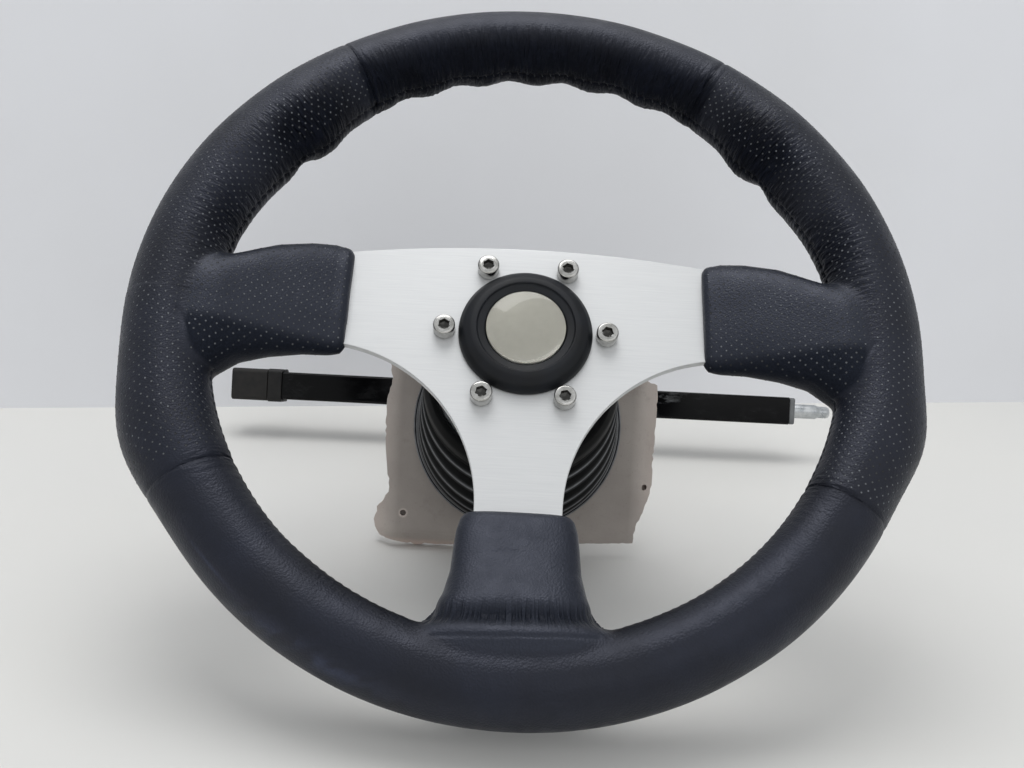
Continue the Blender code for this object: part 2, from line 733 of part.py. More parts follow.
def shaft_group(pocket_floor):
    """Steering shaft with its ball, trunnion pin, washer and nut."""
    back = -HUB_DISTANCE
    end = ADAPTER_FRONT - 0.003
    neck = math.asin(NECK_RADIUS / BALL_RADIUS)
    ball = [(BALL_RADIUS * math.sin(t), back - BALL_RADIUS * math.cos(t))
            for t in (0.0, 0.5, 0.9, 1.25, math.pi / 2, 1.9, 2.2, math.pi - neck)]
    ball[0] = (0, ball[0][1])
    shoulder = back + BARREL_BACK - 0.012
    shaft = turned("steering_shaft",
                   [*ball, (NECK_RADIUS, shoulder - 0.005), (SHAFT_RADIUS, shoulder),
                    (SHAFT_RADIUS, ADAPTER_BACK), (TAPER_END_RADIUS, pocket_floor),
                    (THREAD_RADIUS, pocket_floor), (THREAD_RADIUS, end), (0, end)],
                   WHEEL_AXIS, STEEL, 20)
    hole = cross_pin("trunnion_hole", TRUNNION_RADIUS + PIN_PLAY, -2 * BALL_RADIUS,
                     2 * BALL_RADIUS, 0, back, WHEEL_AXIS, None)
    cut(shaft, hole)
    cross_pin("trunnion_pin", TRUNNION_RADIUS, -CUP_OUTER + GAP, CUP_OUTER - GAP, 0, back,
              WHEEL_AXIS, STEEL)
    washer_top = pocket_floor + GAP + WASHER_THICK
    inner = THREAD_RADIUS + PIN_PLAY
    turned("shaft_washer", [(inner, pocket_floor + GAP), (WASHER_RADIUS, pocket_floor + GAP),
                            (WASHER_RADIUS, washer_top), (inner, washer_top)],
           WHEEL_AXIS, STAINLESS, 20)
    nut_base = washer_top + GAP
    prism("shaft_nut", [circle(NUT_WIDTH / math.sqrt(3), 6), circle(inner, 18)], nut_base,
          nut_base + NUT_HEIGHT, WHEEL_AXIS, STAINLESS)


# Tilt head, latch and boot

def tilt_head():
    """The casting that carries the steering shaft and swings on the pivot pins."""
    seat_back = COVER_BACK - GAP - 0.004
    head = turned("tilt_head",
                  [(SHAFT_RADIUS + 0.002, BARREL_BACK), (BARREL_RADIUS, BARREL_BACK),
                   (BARREL_RADIUS, seat_back), (SEAT_RADIUS, seat_back),
                   (SEAT_RADIUS, COVER_BACK - GAP), (BARREL_RADIUS, COVER_BACK - GAP),
                   (BARREL_RADIUS, BARREL_FRONT), (SHAFT_RADIUS + 0.002, BARREL_FRONT)],
                  TILT_AXIS, CASTING)
    cheek = arc(PIVOT_BOSS, math.radians(90), math.radians(270), 8)
    cheek += [(BARREL_BACK + 0.006, -PIVOT_BOSS + 0.0005), (BARREL_BACK + 0.006, PIVOT_BOSS - 0.0005)]
    hole = circle(PIVOT_PIN + PIN_PLAY, 16)
    for side, low in (("left", -HEAD_CHEEK_OUT), ("right", HEAD_CHEEK_IN)):
        join(head, prism(f"head_cheek_{side}", [cheek, hole], low, low + CHEEK_THICK, TILT_AXIS,
                         None, side=True))
    y, z = LATCH_PIVOT
    lug = [(z + 0.005, -BARREL_RADIUS + 0.006), (z - 0.005, -BARREL_RADIUS + 0.006),
           (z - 0.005, y), (z - 0.003, y - 0.0045), (z + 0.003, y - 0.0045), (z + 0.005, y)]
    lug_hole = circle(LEVER_ROD + PIN_PLAY, SMALL_ROUND, (z, y))
    for index, low in enumerate((0.0055, 0.0110)):
        join(head, prism(f"latch_lug_{index + 1}", [lug, lug_hole], low, low + 0.003, TILT_AXIS,
                         None, side=True))
    for index, (low, high) in enumerate(bearing_seats()):
        seat = pins(f"bearing_seat_{index + 1}", [(0, 0)], BEARING_RADIUS + PIN_PLAY, low, high,
                    TILT_AXIS, None, ROUND)
        cut(head, seat)
        inner = SHAFT_RADIUS + BORE_PLAY
        start = BARREL_BACK + GAP if index == 0 else BARREL_FRONT - BEARING_WIDTH
        turned(("head_bearing_rear", "head_bearing_front")[index],
               [(inner, start), (BEARING_RADIUS, start), (BEARING_RADIUS, start + BEARING_WIDTH - GAP),
                (inner, start + BEARING_WIDTH - GAP)], TILT_AXIS, BRONZE, 20)


def bearing_seats():
    """Depths of the two counterbores in the barrel."""
    return ((BARREL_BACK - 0.001, BARREL_BACK + BEARING_WIDTH + GAP),
            (BARREL_FRONT - BEARING_WIDTH - GAP, BARREL_FRONT + 0.001))


def head_cover():
    """The grey dish that closes the boot's mouth, and the ring that keeps it."""
    inner = BARREL_RADIUS + PIN_PLAY
    top = COVER_BACK + COVER_THICK
    cover = turned("head_cover",
                   [(inner, COVER_BACK), (COVER_RADIUS, COVER_BACK), (COVER_RADIUS, COVER_LIP),
                    (COVER_RADIUS - 0.002, COVER_LIP), (COVER_RADIUS - 0.003, top), (inner, top)],
                   TILT_AXIS, GREY_PLASTIC, BOOT_SIDES)
    y = LATCH_PIVOT[0]
    side = LEVER_ROD + 0.0012
    cut(cover, box("lever_slot", (-side, y - side - 0.0015, COVER_BACK - 0.01),
                   (side, y + side + 0.0004, COVER_LIP + 0.01), TILT_AXIS, None))
    turned("cover_ring", [(inner, top + GAP), (SEAT_RADIUS, top + GAP),
                          (SEAT_RADIUS, top + 0.0016), (inner, top + 0.0016)],
           TILT_AXIS, STEEL, 20)


def latch():
    """Bent rod lever with its knob and the pawl that drops into the notches."""
    y, z = LATCH_PIVOT
    end = BRACKET_CHEEK_OUT + GAP
    drop = -LEVER_DROP - y
    reach = LEVER_REACH - z
    bend = 0.004
    path = [(end, 0, 0), (bend, 0, 0)]
    path += [(bend - bend * math.sin(t), 0, bend - bend * math.cos(t))
             for t in (math.pi / 8, math.pi / 4, 3 * math.pi / 8, math.pi / 2)]
    path += [(0, -0.0005, 0.016), (0, -0.0030, 0.0205), (0, -0.0070, 0.0235),
             (0, -0.0130, 0.0255), (0, drop, reach)]
    rod("tilt_lever", path, LEVER_ROD, LATCH_AXIS, BLACK_PLASTIC)
    slope = Vector((0, drop + 0.0130, reach - 0.0255)).normalized()
    knob = turned("lever_knob",
                  [(0, GAP), (KNOB_RADIUS * 0.55, GAP), (KNOB_RADIUS * 0.85, KNOB_LENGTH * 0.15),
                   (KNOB_RADIUS, KNOB_LENGTH * 0.45), (KNOB_RADIUS * 0.85, KNOB_LENGTH * 0.8),
                   (KNOB_RADIUS * 0.4, KNOB_LENGTH), (0, KNOB_LENGTH)],
                  LATCH_AXIS, BLACK_PLASTIC, 16)
    knob.location = (0, drop, reach)
    knob.rotation_euler = slope.to_track_quat("Z", "Y").to_euler()
    tip = LOBE_RADIUS + BORE_PLAY
    clear = -(LOBE_RADIUS + 0.0006)
    tooth = (tip * math.cos(PAWL_ANGLE), tip * math.sin(PAWL_ANGLE))
    outline = [(z - LATCH_BOSS, clear), (tooth[0] + PAWL_DEPTH, clear), tooth,
               (tooth[0] - PAWL_DEPTH, clear), (tooth[0] - 0.003, clear - 0.0015),
               (tooth[0] - 0.002, clear - 0.0026), (z - LATCH_BOSS, clear - 0.0036)]
    outline += arc(LATCH_BOSS, math.radians(-110), math.radians(120), 8, (z, y))
    hole = circle(LEVER_ROD + PIN_PLAY, SMALL_ROUND, (z, y))
    pawl = prism("latch_pawl", [outline, hole], BRACKET_CHEEK_IN, BRACKET_CHEEK_OUT,
                 LATCH_AXIS, STEEL, side=True)
    pawl.data.transform(Matrix.Translation((0, -y, -z)))


def pivot_pins():
    """Plain pins, pressed into the bracket's cheeks, that carry the head."""
    inner = HEAD_CHEEK_IN + GAP
    outer = BRACKET_CHEEK_OUT + 0.001
    for name, side in (("pivot_pin_left", -1), ("pivot_pin_right", 1)):
        pin = turned(name, [(0, inner), (PIVOT_PIN, inner), (PIVOT_PIN, outer),
                            (PIVOT_PIN * 0.85, outer + 0.0008), (0, outer + 0.0008)],
                     HELM, STEEL, 16)
        pin.rotation_euler = (0, side * math.pi / 2, 0)


def boot_rings():
    """Rings of the pleated boot as (radius, distance from the pivot) pairs."""
    rim = GAP + BOOT_RIM_HEIGHT
    outer = [(BOOT_RADIUS, GAP), (BOOT_RADIUS, rim - 0.0014), (BOOT_RADIUS - 0.0010, rim),
             (BOOT_RADIUS - 0.0018, rim - 0.0007), (BOOT_RADIUS - 0.0026, rim)]
    channel = BOOT_RADIUS - BOOT_RIM_WALL
    inner = [(channel, GAP), (channel, rim - BOOT_CEILING),
             (PLEAT_RADIUS - BOOT_WALL, rim - BOOT_CEILING)]
    pitch = (PLEAT_END - PLEAT_START) / PLEATS
    for index in range(PLEATS):
        ridge = PLEAT_RADIUS - PLEAT_TAPER * index
        start = PLEAT_START + pitch * index
        outer += [(ridge, start), (ridge, start + 0.25 * pitch),
                  (ridge - PLEAT_DEPTH, start + 0.6 * pitch)]
        inner += [(ridge - BOOT_WALL, start + 0.12 * pitch),
                  (ridge - PLEAT_DEPTH - BOOT_WALL, start + 0.60 * pitch)]
    hold = COVER_RADIUS + GAP
    outer += [(COVER_RADIUS + 0.0055, PLEAT_END + 0.001), (COVER_RADIUS + 0.0068, PLEAT_END + 0.004),
              (COVER_RADIUS + 0.0062, COVER_LIP - 0.002), (COVER_RADIUS + 0.0035, COVER_LIP + 0.002),
              (COVER_RADIUS + 0.0012, COVER_LIP + 0.0018)]
    inner += [(hold, PLEAT_END + 0.004), (hold, COVER_LIP)]
    return outer + list(reversed(inner))


def boot():
    """The rubber boot, whose rings turn with the head from the panel to the cover."""
    rings = []
    for radius, distance in boot_rings():
        share = min(max((distance - PLEAT_START) / (PLEAT_END - PLEAT_START), 0.0), 1.0)
        lean = TILT_UP * share * share * (3 - 2 * share)
        forward = Vector((0, math.sin(lean), math.cos(lean)))
        upward = Vector((0, math.cos(lean), -math.sin(lean)))
        ring = []
        for i in range(BOOT_SIDES):
            turn = 2 * math.pi * i / BOOT_SIDES
            ring.append(Vector((radius * math.cos(turn), 0, 0))
                        + upward * radius * math.sin(turn) + forward * distance)
        rings.append(ring)
    loft("boot", rings, HELM, BLACK_RUBBER, closed=True)


# Bracket and dash panel

def notched_lobe():
    """Edge of the notched cheek, from its lower tail round the front to the top."""
    half = math.asin(NOTCH_RADIUS / LOBE_RADIUS)
    tail = math.pi - math.asin(BRACKET_HALF / LOBE_RADIUS)
    top_notch = PAWL_ANGLE + TILT_UP
    centres = [top_notch - NOTCH_STEP * (TILT_NOTCHES - 1 - i) for i in range(TILT_NOTCHES)]
    points = [(LOBE_RADIUS * math.cos(-tail), LOBE_RADIUS * math.sin(-tail))]
    for centre in centres:
        spot = Vector((math.cos(centre), math.sin(centre)))
        along = Vector((-spot.y, spot.x))
        points += arc(LOBE_RADIUS, centre - half, centre - half, 1)[:1]
        points += [tuple(spot * LOBE_RADIUS - spot * NOTCH_RADIUS * math.sin(t)
                         - along * NOTCH_RADIUS * math.cos(t))
                   for t in (math.pi / 4, math.pi / 2, 3 * math.pi / 4)]
        points += arc(LOBE_RADIUS, centre + half, centre + half, 1)[:1]
    return points + arc(LOBE_RADIUS, top_notch + 2.5 * half, tail, 10)


def tilt_bracket():
    """The bracket behind the panel: flange, two cheeks and a base plate."""
    inside = BRACKET_CHEEK_IN + 0.0005
    relief = (BRACKET_CHEEK_IN - 0.0008, BRACKET_CHEEK_OUT + 0.0008)
    opening = [(-inside, -0.027), (relief[0], -0.027), (relief[0], -0.041), (relief[1], -0.041),
               (relief[1], -LOBE_RADIUS - 0.0005), (inside, -LOBE_RADIUS - 0.0005),
               (inside, 0.027), (-inside, 0.027)]
    bolts = [circle(BOLT_SHANK + PIN_PLAY, SMALL_ROUND, place)
             for place in ring_places(BOLT_CIRCLE, 4, math.pi / 4)]
    bracket = prism("tilt_bracket", [circle(FLANGE_RADIUS, 30), opening, *bolts], FLANGE_BACK,
                    FLANGE_FRONT, HELM, CASTING)
    tail = math.pi - math.asin(BRACKET_HALF / LOBE_RADIUS)
    plain = arc(LOBE_RADIUS, -tail, tail, 20)
    hole = circle(PIVOT_PIN + PIN_PLAY, 16)
    back = BRACKET_BACK + 0.0005
    for side, low, lobe in (("left", -BRACKET_CHEEK_OUT, plain),
                            ("right", BRACKET_CHEEK_IN, notched_lobe())):
        outline = [(back, -BRACKET_HALF), *lobe, (back, BRACKET_HALF)]
        join(bracket, prism(f"bracket_cheek_{side}", [outline, hole], low, low + CHEEK_THICK,
                            HELM, None, side=True))
    width = BRACKET_CHEEK_OUT - 0.0005
    screws = [circle(NECK_SCREW_SHANK + PIN_PLAY, SMALL_ROUND, place)
              for place in ring_places(NECK_SCREWS, 4, math.pi / 4)]
    base = prism("bracket_base", [rectangle(-width, width, -BRACKET_HALF - 0.0005,
                                            BRACKET_HALF + 0.0005),
                                  circle(DRIVE_RADIUS + 0.003, 24), *screws],
                 BRACKET_BACK, BRACKET_BACK + 0.005, HELM, None)
    join(bracket, base)


PANEL_EDGE = ((-0.0748, -0.0669), (-0.0549, -0.0706), (0.0684, -0.0633), (0.0684, -0.0582),
              (0.0750, -0.0424), (0.0783, -0.0332), (0.0785, -0.0242), (0.0789, -0.0096),
              (0.0795, 0.0191), (0.0788, 0.0261), (0.0714, 0.0293), (0.0690, 0.0430),
              (0.0620, 0.0570), (0.0400, 0.0625), (0.0000, 0.0640), (-0.0450, 0.0620),
              (-0.0680, 0.0570), (-0.0790, 0.0470), (-0.0784, 0.0366), (-0.0727, 0.0294),
              (-0.0714, 0.0212), (-0.0741, 0.0108), (-0.0744, -0.0049), (-0.0734, -0.0172),
              (-0.0715, -0.0316), (-0.0701, -0.0383), (-0.0731, -0.0457), (-0.0772, -0.0504),
              (-0.0788, -0.0578), (-0.0773, -0.0639))


def dash_panel():
    """A piece of moulded dash, broken at its edges, whose sides turn back."""
    bolts = [circle(BOLT_SHANK + PIN_PLAY, SMALL_ROUND, place)
             for place in ring_places(BOLT_CIRCLE, 4, math.pi / 4)]
    screws = [circle(PANEL_SCREW_RADIUS, 8, place) for place in PANEL_SCREWS]
    panel = prism("dash_panel", [list(PANEL_EDGE), circle(PANEL_HOLE, 30), *bolts, *screws],
                  PANEL_BACK, 0.0, HELM, GELCOAT)
    work = bmesh.new()
    work.from_mesh(panel.data)
    for place, direction in (((LEFT_BEND, 0, 0), (1, 0, 0)), ((RIGHT_BEND, 0, 0), (1, 0, 0)),
                             ((0, LOWER_BEND, 0), (0, 1, 0))):
        everything = work.verts[:] + work.edges[:] + work.faces[:]
        bmesh.ops.bisect_plane(work, geom=everything, plane_co=place, plane_no=direction)
    for vertex in work.verts:
        beyond = max(LEFT_BEND - vertex.co.x, vertex.co.x - RIGHT_BEND, 0.0)
        below = max(LOWER_BEND - vertex.co.y, 0.0)
        vertex.co.z -= BEND_SLOPE * (beyond + below)
    work.to_mesh(panel.data)
    work.free()


def headed_screw(name, place, shank, length, head, height, seat, parent, finish, facing=1):
    """A screw whose head sits on a seat and whose shank runs into the part."""
    under = seat + facing * GAP
    screw = turned(name, [(0, under - facing * length), (shank, under - facing * length),
                          (shank, under), (head, under), (head, under + facing * height * 0.6),
                          (head * 0.7, under + facing * height), (0, under + facing * height)],
                   parent, finish, SCREW_SIDES)
    screw.location = (*place, 0)
    return screw


def dash_bolts():
    for index, place in enumerate(ring_places(BOLT_CIRCLE, 4, math.pi / 4)):
        headed_screw(f"dash_bolt_{index + 1}", place, BOLT_SHANK, BOLT_LENGTH, BOLT_HEAD,
                     BOLT_HEAD_HEIGHT, 0.0, HELM, STAINLESS)


# Gearbox

def housing():
    """The cast gearbox housing, with its long neck up to the bracket."""
    channel_half = TUBE_SIZE / 2 + GAP
    pinion_front = RACK_AXIS + PINION_WIDTH / 2 + 0.002
    flange_back = NECK_FRONT - NECK_FLANGE_THICK
    body = box("helm_housing", (-HOUSING_HALF, HOUSING_LOW, HOUSING_BACK),
               (HOUSING_HALF, HOUSING_HIGH, HOUSING_FRONT), HELM, CASTING, edge=0.003)
    neck = turned("housing_neck",
                  [(0, HOUSING_FRONT - 0.01), (NECK_OUTER + 0.004, HOUSING_FRONT - 0.01),
                   (NECK_OUTER + 0.004, HOUSING_FRONT + 0.004), (NECK_OUTER, HOUSING_FRONT + 0.012),
                   (NECK_OUTER - 0.001, flange_back - 0.004), (NECK_OUTER + 0.001, flange_back),
                   (NECK_FLANGE, flange_back), (NECK_FLANGE, NECK_FRONT), (0, NECK_FRONT)],
                  HELM, None)
    neck.rotation_euler = (0, 0, math.pi / ROUND)
    join(body, neck)
    for index, turn in enumerate((0.0, math.pi / 2)):
        rib = box(f"neck_rib_{index + 1}", (-NECK_OUTER - 0.004, -0.002, HOUSING_FRONT - 0.004),
                  (NECK_OUTER + 0.004, 0.002, flange_back + 0.002), HELM, None)
        rib.rotation_euler = (0, 0, turn)
        join(body, rib)
    bore = DRIVE_RADIUS + 0.001
    seat = BUSH_RADIUS + PIN_PLAY
    stem = turned("housing_bore",
                  [(0, NECK_FRONT + 0.001), (seat, NECK_FRONT + 0.001),
                   (seat, NECK_FRONT - BUSH_LENGTH - GAP), (bore, NECK_FRONT - BUSH_LENGTH - GAP),
                   (bore, pinion_front + BUSH_LENGTH), (seat, pinion_front + BUSH_LENGTH),
                   (seat, pinion_front), (PINION_BORE, pinion_front),
                   (PINION_BORE, HOUSING_BACK - 0.001), (0, HOUSING_BACK - 0.001)],
                  HELM, None)
    cut(body, stem)
    cut(body, box("rack_channel", (-2 * HOUSING_HALF, TUBE_HEIGHT - channel_half,
                                   RACK_AXIS - channel_half),
                  (2 * HOUSING_HALF, TUBE_HEIGHT + channel_half, RACK_AXIS + channel_half),
                  HELM, None))
    cut(body, pins("neck_screw_holes", ring_places(NECK_SCREWS, 4, math.pi / 4),
                   NECK_SCREW_SHANK + PIN_PLAY, flange_back - 0.002, NECK_FRONT + 0.002,
                   HELM, None))
    hole_depth = COVER_SCREW_LENGTH - COVER_PLATE_THICK
    cut(body, pins("cover_screw_holes", ring_places(COVER_SCREWS, 4, math.pi / 4),
                   COVER_SCREW_SHANK + PIN_PLAY, HOUSING_BACK - 0.001, HOUSING_BACK + hole_depth,
                   HELM, None))
    inner = DRIVE_RADIUS + BORE_PLAY
    for name, low in (("drive_bush_front", NECK_FRONT - BUSH_LENGTH),
                      ("drive_bush_rear", pinion_front + GAP)):
        high = low + BUSH_LENGTH - GAP
        turned(name, [(inner, low), (BUSH_RADIUS, low), (BUSH_RADIUS, high), (inner, high)],
               HELM, BRONZE, 20)
    for index, place in enumerate(ring_places(NECK_SCREWS, 4, math.pi / 4)):
        headed_screw(f"neck_screw_{index + 1}", place, NECK_SCREW_SHANK, NECK_SCREW_LENGTH,
                     NECK_SCREW_HEAD, 0.003, flange_back, HELM, STAINLESS, facing=-1)


def rear_cover():
    """The plate that closes the pinion's bore and holds its rear bush."""
    face = HOUSING_BACK - GAP
    back = face - COVER_PLATE_THICK
    boss = back - COVER_BOSS_LENGTH
    seat = REAR_SHAFT + 0.003
    cover = turned("rear_cover",
                   [(0, boss), (COVER_BOSS, boss), (COVER_BOSS, back), (COVER_PLATE, back),
                    (COVER_PLATE, face), (seat, face), (seat, boss + 0.002), (0, boss + 0.002)],
                   HELM, CASTING)
    cut(cover, pins("rear_cover_holes", ring_places(COVER_SCREWS, 4, math.pi / 4),
                    COVER_SCREW_SHANK + PIN_PLAY, back - 0.001, face + 0.001, HELM, None))
    inner = REAR_SHAFT + BORE_PLAY
    low = boss + 0.002 + GAP
    turned("rear_bush", [(inner, low), (seat - GAP, low), (seat - GAP, face), (inner, face)],
           HELM, BRONZE, 20)
    for index, place in enumerate(ring_places(COVER_SCREWS, 4, math.pi / 4)):
        headed_screw(f"cover_screw_{index + 1}", place, COVER_SCREW_SHANK, COVER_SCREW_LENGTH,
                     COVER_SCREW_HEAD, COVER_SCREW_HEIGHT, back, HELM, STAINLESS, facing=-1)


def involute(base, radius):
    """Polar angle of an involute at a radius."""
    pressure = math.acos(base / radius)
    return math.tan(pressure) - pressure


def pinion_outline():
    """Involute teeth with a gap at the top, where the rack's middle tooth sits."""
    base = PITCH_RADIUS * math.cos(PRESSURE_ANGLE)
    tip = PITCH_RADIUS + PINION_ADDENDUM * MODULE
    root = PITCH_RADIUS - DEDENDUM * MODULE
    half = math.pi / (2 * PINION_TEETH) - BACKLASH / (2 * PITCH_RADIUS)
    start = half + involute(base, PITCH_RADIUS)
    flank = [base + (tip - base) * share for share in (0.0, 0.25, 0.5, 0.75, 1.0)]
    points = []
    for tooth in range(PINION_TEETH):
        centre = math.pi / 2 + (tooth + 0.5) * 2 * math.pi / PINION_TEETH
        rising = [(radius, centre - start + involute(base, radius)) for radius in flank]
        falling = [(radius, 2 * centre - angle) for radius, angle in reversed(rising)]
        turned_points = [(root, centre - start), *rising, *falling, (root, centre + start)]
        points += [(r * math.cos(a), r * math.sin(a)) for r, a in turned_points]
    return points


def drive():
    """Pinion and the drive shaft with the slotted cup at the pivot."""
    low = RACK_AXIS - PINION_WIDTH / 2
    high = RACK_AXIS + PINION_WIDTH / 2
    prism("pinion", [pinion_outline(), circle(REAR_SHAFT + GAP, 24)], low, high,
          PINION_AXIS, STEEL)
    end = HOUSING_BACK - GAP - COVER_PLATE_THICK - COVER_BOSS_LENGTH + 0.002 + 2 * GAP
    shaft = turned("drive_shaft",
                   [(0, CUP_FLOOR), (CUP_INNER, CUP_FLOOR), (CUP_INNER, CUP_MOUTH),
                    (CUP_OUTER, CUP_MOUTH), (CUP_OUTER, CUP_BACK), (DRIVE_RADIUS, CUP_BACK - 0.002),
                    (DRIVE_RADIUS, high + GAP), (REAR_SHAFT, high + GAP), (REAR_SHAFT, end),
                    (0, end)], PINION_AXIS, STEEL, 20)
    half = TRUNNION_RADIUS + TRUNNION_PLAY
    floor = -(CUP_OUTER * math.sin(TILT_UP) + TRUNNION_RADIUS + GAP)
    cut(shaft, box("cup_slot", (-2 * CUP_OUTER, -half, floor), (2 * CUP_OUTER, half, 2 * CUP_MOUTH),
                   PINION_AXIS, None))


def rack_outline():
    """Side view of the bar: straight flanks on its lower edge."""
    pitch = math.pi * MODULE
    tip = PITCH_RADIUS - RACK_ADDENDUM * MODULE
    root = PITCH_RADIUS + DEDENDUM * MODULE
    slope = math.tan(PRESSURE_ANGLE)
    half_tip = pitch / 4 - BACKLASH / 2 - (PITCH_RADIUS - tip) * slope
    half_root = pitch / 4 - BACKLASH / 2 + (root - PITCH_RADIUS) * slope
    first = -(RACK_TEETH // 2)
    points = [(RACK_LEFT, root)]
    for index in range(first, first + RACK_TEETH):
        centre = index * pitch
        points += [(centre - half_root, root), (centre - half_tip, tip),
                   (centre + half_tip, tip), (centre + half_root, root)]
    return points + [(RACK_RIGHT, root), (RACK_RIGHT, RACK_BACK), (RACK_LEFT, RACK_BACK)]


def rack():
    prism("rack_bar", [rack_outline()], -RACK_DEPTH / 2, RACK_DEPTH / 2, RACK_SLIDE, STEEL)
    stud = turned("cable_stud", [(0, 0), (STUD_RADIUS, 0), (STUD_RADIUS, STUD_LENGTH * 0.8),
                                 (STUD_RADIUS * 0.7, STUD_LENGTH), (0, STUD_LENGTH)],
                  RACK_SLIDE, STAINLESS, SMALL_ROUND, lie_along_x=True)
    stud.location = (RACK_RIGHT + GAP, (RACK_BACK + PITCH_RADIUS) / 2, 0)


def rack_tube():
    """Square tube round the rack, with its end cap, collar, plug and cable fitting."""
    centre = (RACK_AXIS, TUBE_HEIGHT)
    outer = rounded_square(TUBE_SIZE / 2, TUBE_CORNER, centre)
    inner = rounded_square(TUBE_SIZE / 2 - TUBE_WALL, TUBE_CORNER - TUBE_WALL / 2, centre)
    tube = prism("rack_tube", [outer, inner], -TUBE_HALF, TUBE_HALF, HELM, GLOSS_BLACK, side=True)
    window = PINION_BORE - GAP
    reach = TUBE_SIZE / 2 + 0.001
    cut(tube, pins("pinion_window", [(0, 0)], window, RACK_AXIS - reach, RACK_AXIS + reach,
                   HELM, None, 24))
    cap_outer = CAP_INSIDE + CAP_WALL
    cap_end = -TUBE_HALF - GAP - CAP_END_THICK
    cap = prism("tube_end_cap", [rounded_square(cap_outer, TUBE_CORNER + CAP_WALL, centre)],
                cap_end, CAP_START, HELM, BLACK_PLASTIC, side=True)
    cut(cap, box("cap_hollow", (-TUBE_HALF - GAP, TUBE_HEIGHT - CAP_INSIDE, RACK_AXIS - CAP_INSIDE),
                 (CAP_START + 0.01, TUBE_HEIGHT + CAP_INSIDE, RACK_AXIS + CAP_INSIDE), HELM, None))
    collar_start = CAP_START + GAP
    collar = prism("tube_collar",
                   [rounded_square(cap_outer + 0.0005, TUBE_CORNER + CAP_WALL, centre),
                    rounded_square(CAP_INSIDE, TUBE_CORNER, centre)],
                   collar_start, collar_start + COLLAR_WIDTH, HELM, BLACK_PLASTIC, side=True)
    join(collar, box("collar_nub", (collar_start + 0.003, TUBE_HEIGHT - cap_outer - 0.003,
                                    RACK_AXIS - 0.003),
                     (collar_start + 0.007, TUBE_HEIGHT - CAP_INSIDE - 0.0003, RACK_AXIS + 0.003),
                     HELM, None))
    plug_start = TUBE_HALF + GAP
    plug = prism("cable_outlet_plug",
                 [rounded_square(TUBE_SIZE / 2 - 0.0003, TUBE_CORNER, centre),
                  circle(FITTING_RADIUS + PIN_PLAY, 20, centre)],
                 plug_start, plug_start + PLUG_THICK, HELM, GREY_PLASTIC, side=True)
    plug.data.set_sharp_from_angle(angle=math.radians(35))
    fitting = turned("cable_fitting",
                     [(FITTING_BORE, plug_start), (FITTING_RADIUS, plug_start),
                      (FITTING_RADIUS, FITTING_END - 0.010), (FITTING_RADIUS * 0.82, FITTING_END - 0.008),
                      (FITTING_RADIUS * 0.82, FITTING_END - 0.002),
                      (FITTING_RADIUS * 0.66, FITTING_END), (FITTING_BORE, FITTING_END)],
                     HELM, STAINLESS, 20, lie_along_x=True)
    fitting.location = (0, TUBE_HEIGHT, RACK_AXIS)


def build():
    spider()
    torus("rim_core", RIM_RADIUS, RIM_CORE_RADIUS, RIM_RISE, ALUMINIUM)
    grips()
    wheel_screws()
    centre_cap()
    shaft_group(hub_adapter())
    tilt_head()
    head_cover()
    latch()
    pivot_pins()
    boot()
    tilt_bracket()
    dash_panel()
    dash_bolts()
    housing()
    rear_cover()
    drive()
    rack()
    rack_tube()


build()
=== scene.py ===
"""Looks of the boat steering helm: leather wheel, brushed spider, boot, worn dash and rack tube."""
import math

import bmesh
import bpy
import numpy as np
from mathutils import Matrix, Vector
from mathutils.bvhtree import BVHTree


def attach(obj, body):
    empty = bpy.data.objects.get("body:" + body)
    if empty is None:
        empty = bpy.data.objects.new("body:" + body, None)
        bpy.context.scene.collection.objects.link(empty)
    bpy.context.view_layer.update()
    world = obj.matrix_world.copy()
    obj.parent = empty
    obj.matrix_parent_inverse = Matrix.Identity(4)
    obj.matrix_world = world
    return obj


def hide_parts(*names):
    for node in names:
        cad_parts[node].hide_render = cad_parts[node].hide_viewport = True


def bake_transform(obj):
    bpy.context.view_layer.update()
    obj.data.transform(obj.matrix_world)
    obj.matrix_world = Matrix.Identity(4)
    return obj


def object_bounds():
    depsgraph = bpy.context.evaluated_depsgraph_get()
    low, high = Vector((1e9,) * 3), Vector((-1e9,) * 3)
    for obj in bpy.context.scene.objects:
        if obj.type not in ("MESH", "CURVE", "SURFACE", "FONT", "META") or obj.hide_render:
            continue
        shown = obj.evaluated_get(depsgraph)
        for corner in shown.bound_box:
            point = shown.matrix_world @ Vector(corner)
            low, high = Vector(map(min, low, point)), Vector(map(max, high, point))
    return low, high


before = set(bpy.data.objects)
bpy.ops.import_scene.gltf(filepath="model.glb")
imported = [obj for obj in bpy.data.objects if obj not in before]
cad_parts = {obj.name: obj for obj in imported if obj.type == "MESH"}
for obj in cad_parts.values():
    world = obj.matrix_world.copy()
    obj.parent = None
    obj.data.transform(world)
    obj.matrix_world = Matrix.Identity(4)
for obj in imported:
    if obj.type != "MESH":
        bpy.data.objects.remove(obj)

CAD_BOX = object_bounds()
MM = 0.001

# Attitude of the helm, as in the solids: the pivot is the origin
PANEL_RISE = math.radians(14.7)
WHEEL_RISE = math.radians(38.7)
HUB_DISTANCE = 0.114

# Camera, at the photograph's viewing angle
CAMERA_PLACE = (-0.008886, -0.535348, 0.166084)
CAMERA_FORWARD = Vector((0.00858, 0.96629, -0.25731))
CAMERA_UP = Vector((-0.05032, 0.25741, 0.96499))
CAMERA_LENS = 35.16

# Stage: half its width, and the wall's distance behind the pivot and its slant
STAGE_REACH = 3.0
WALL_PLACE = 0.2853
WALL_TURN = 0.2017

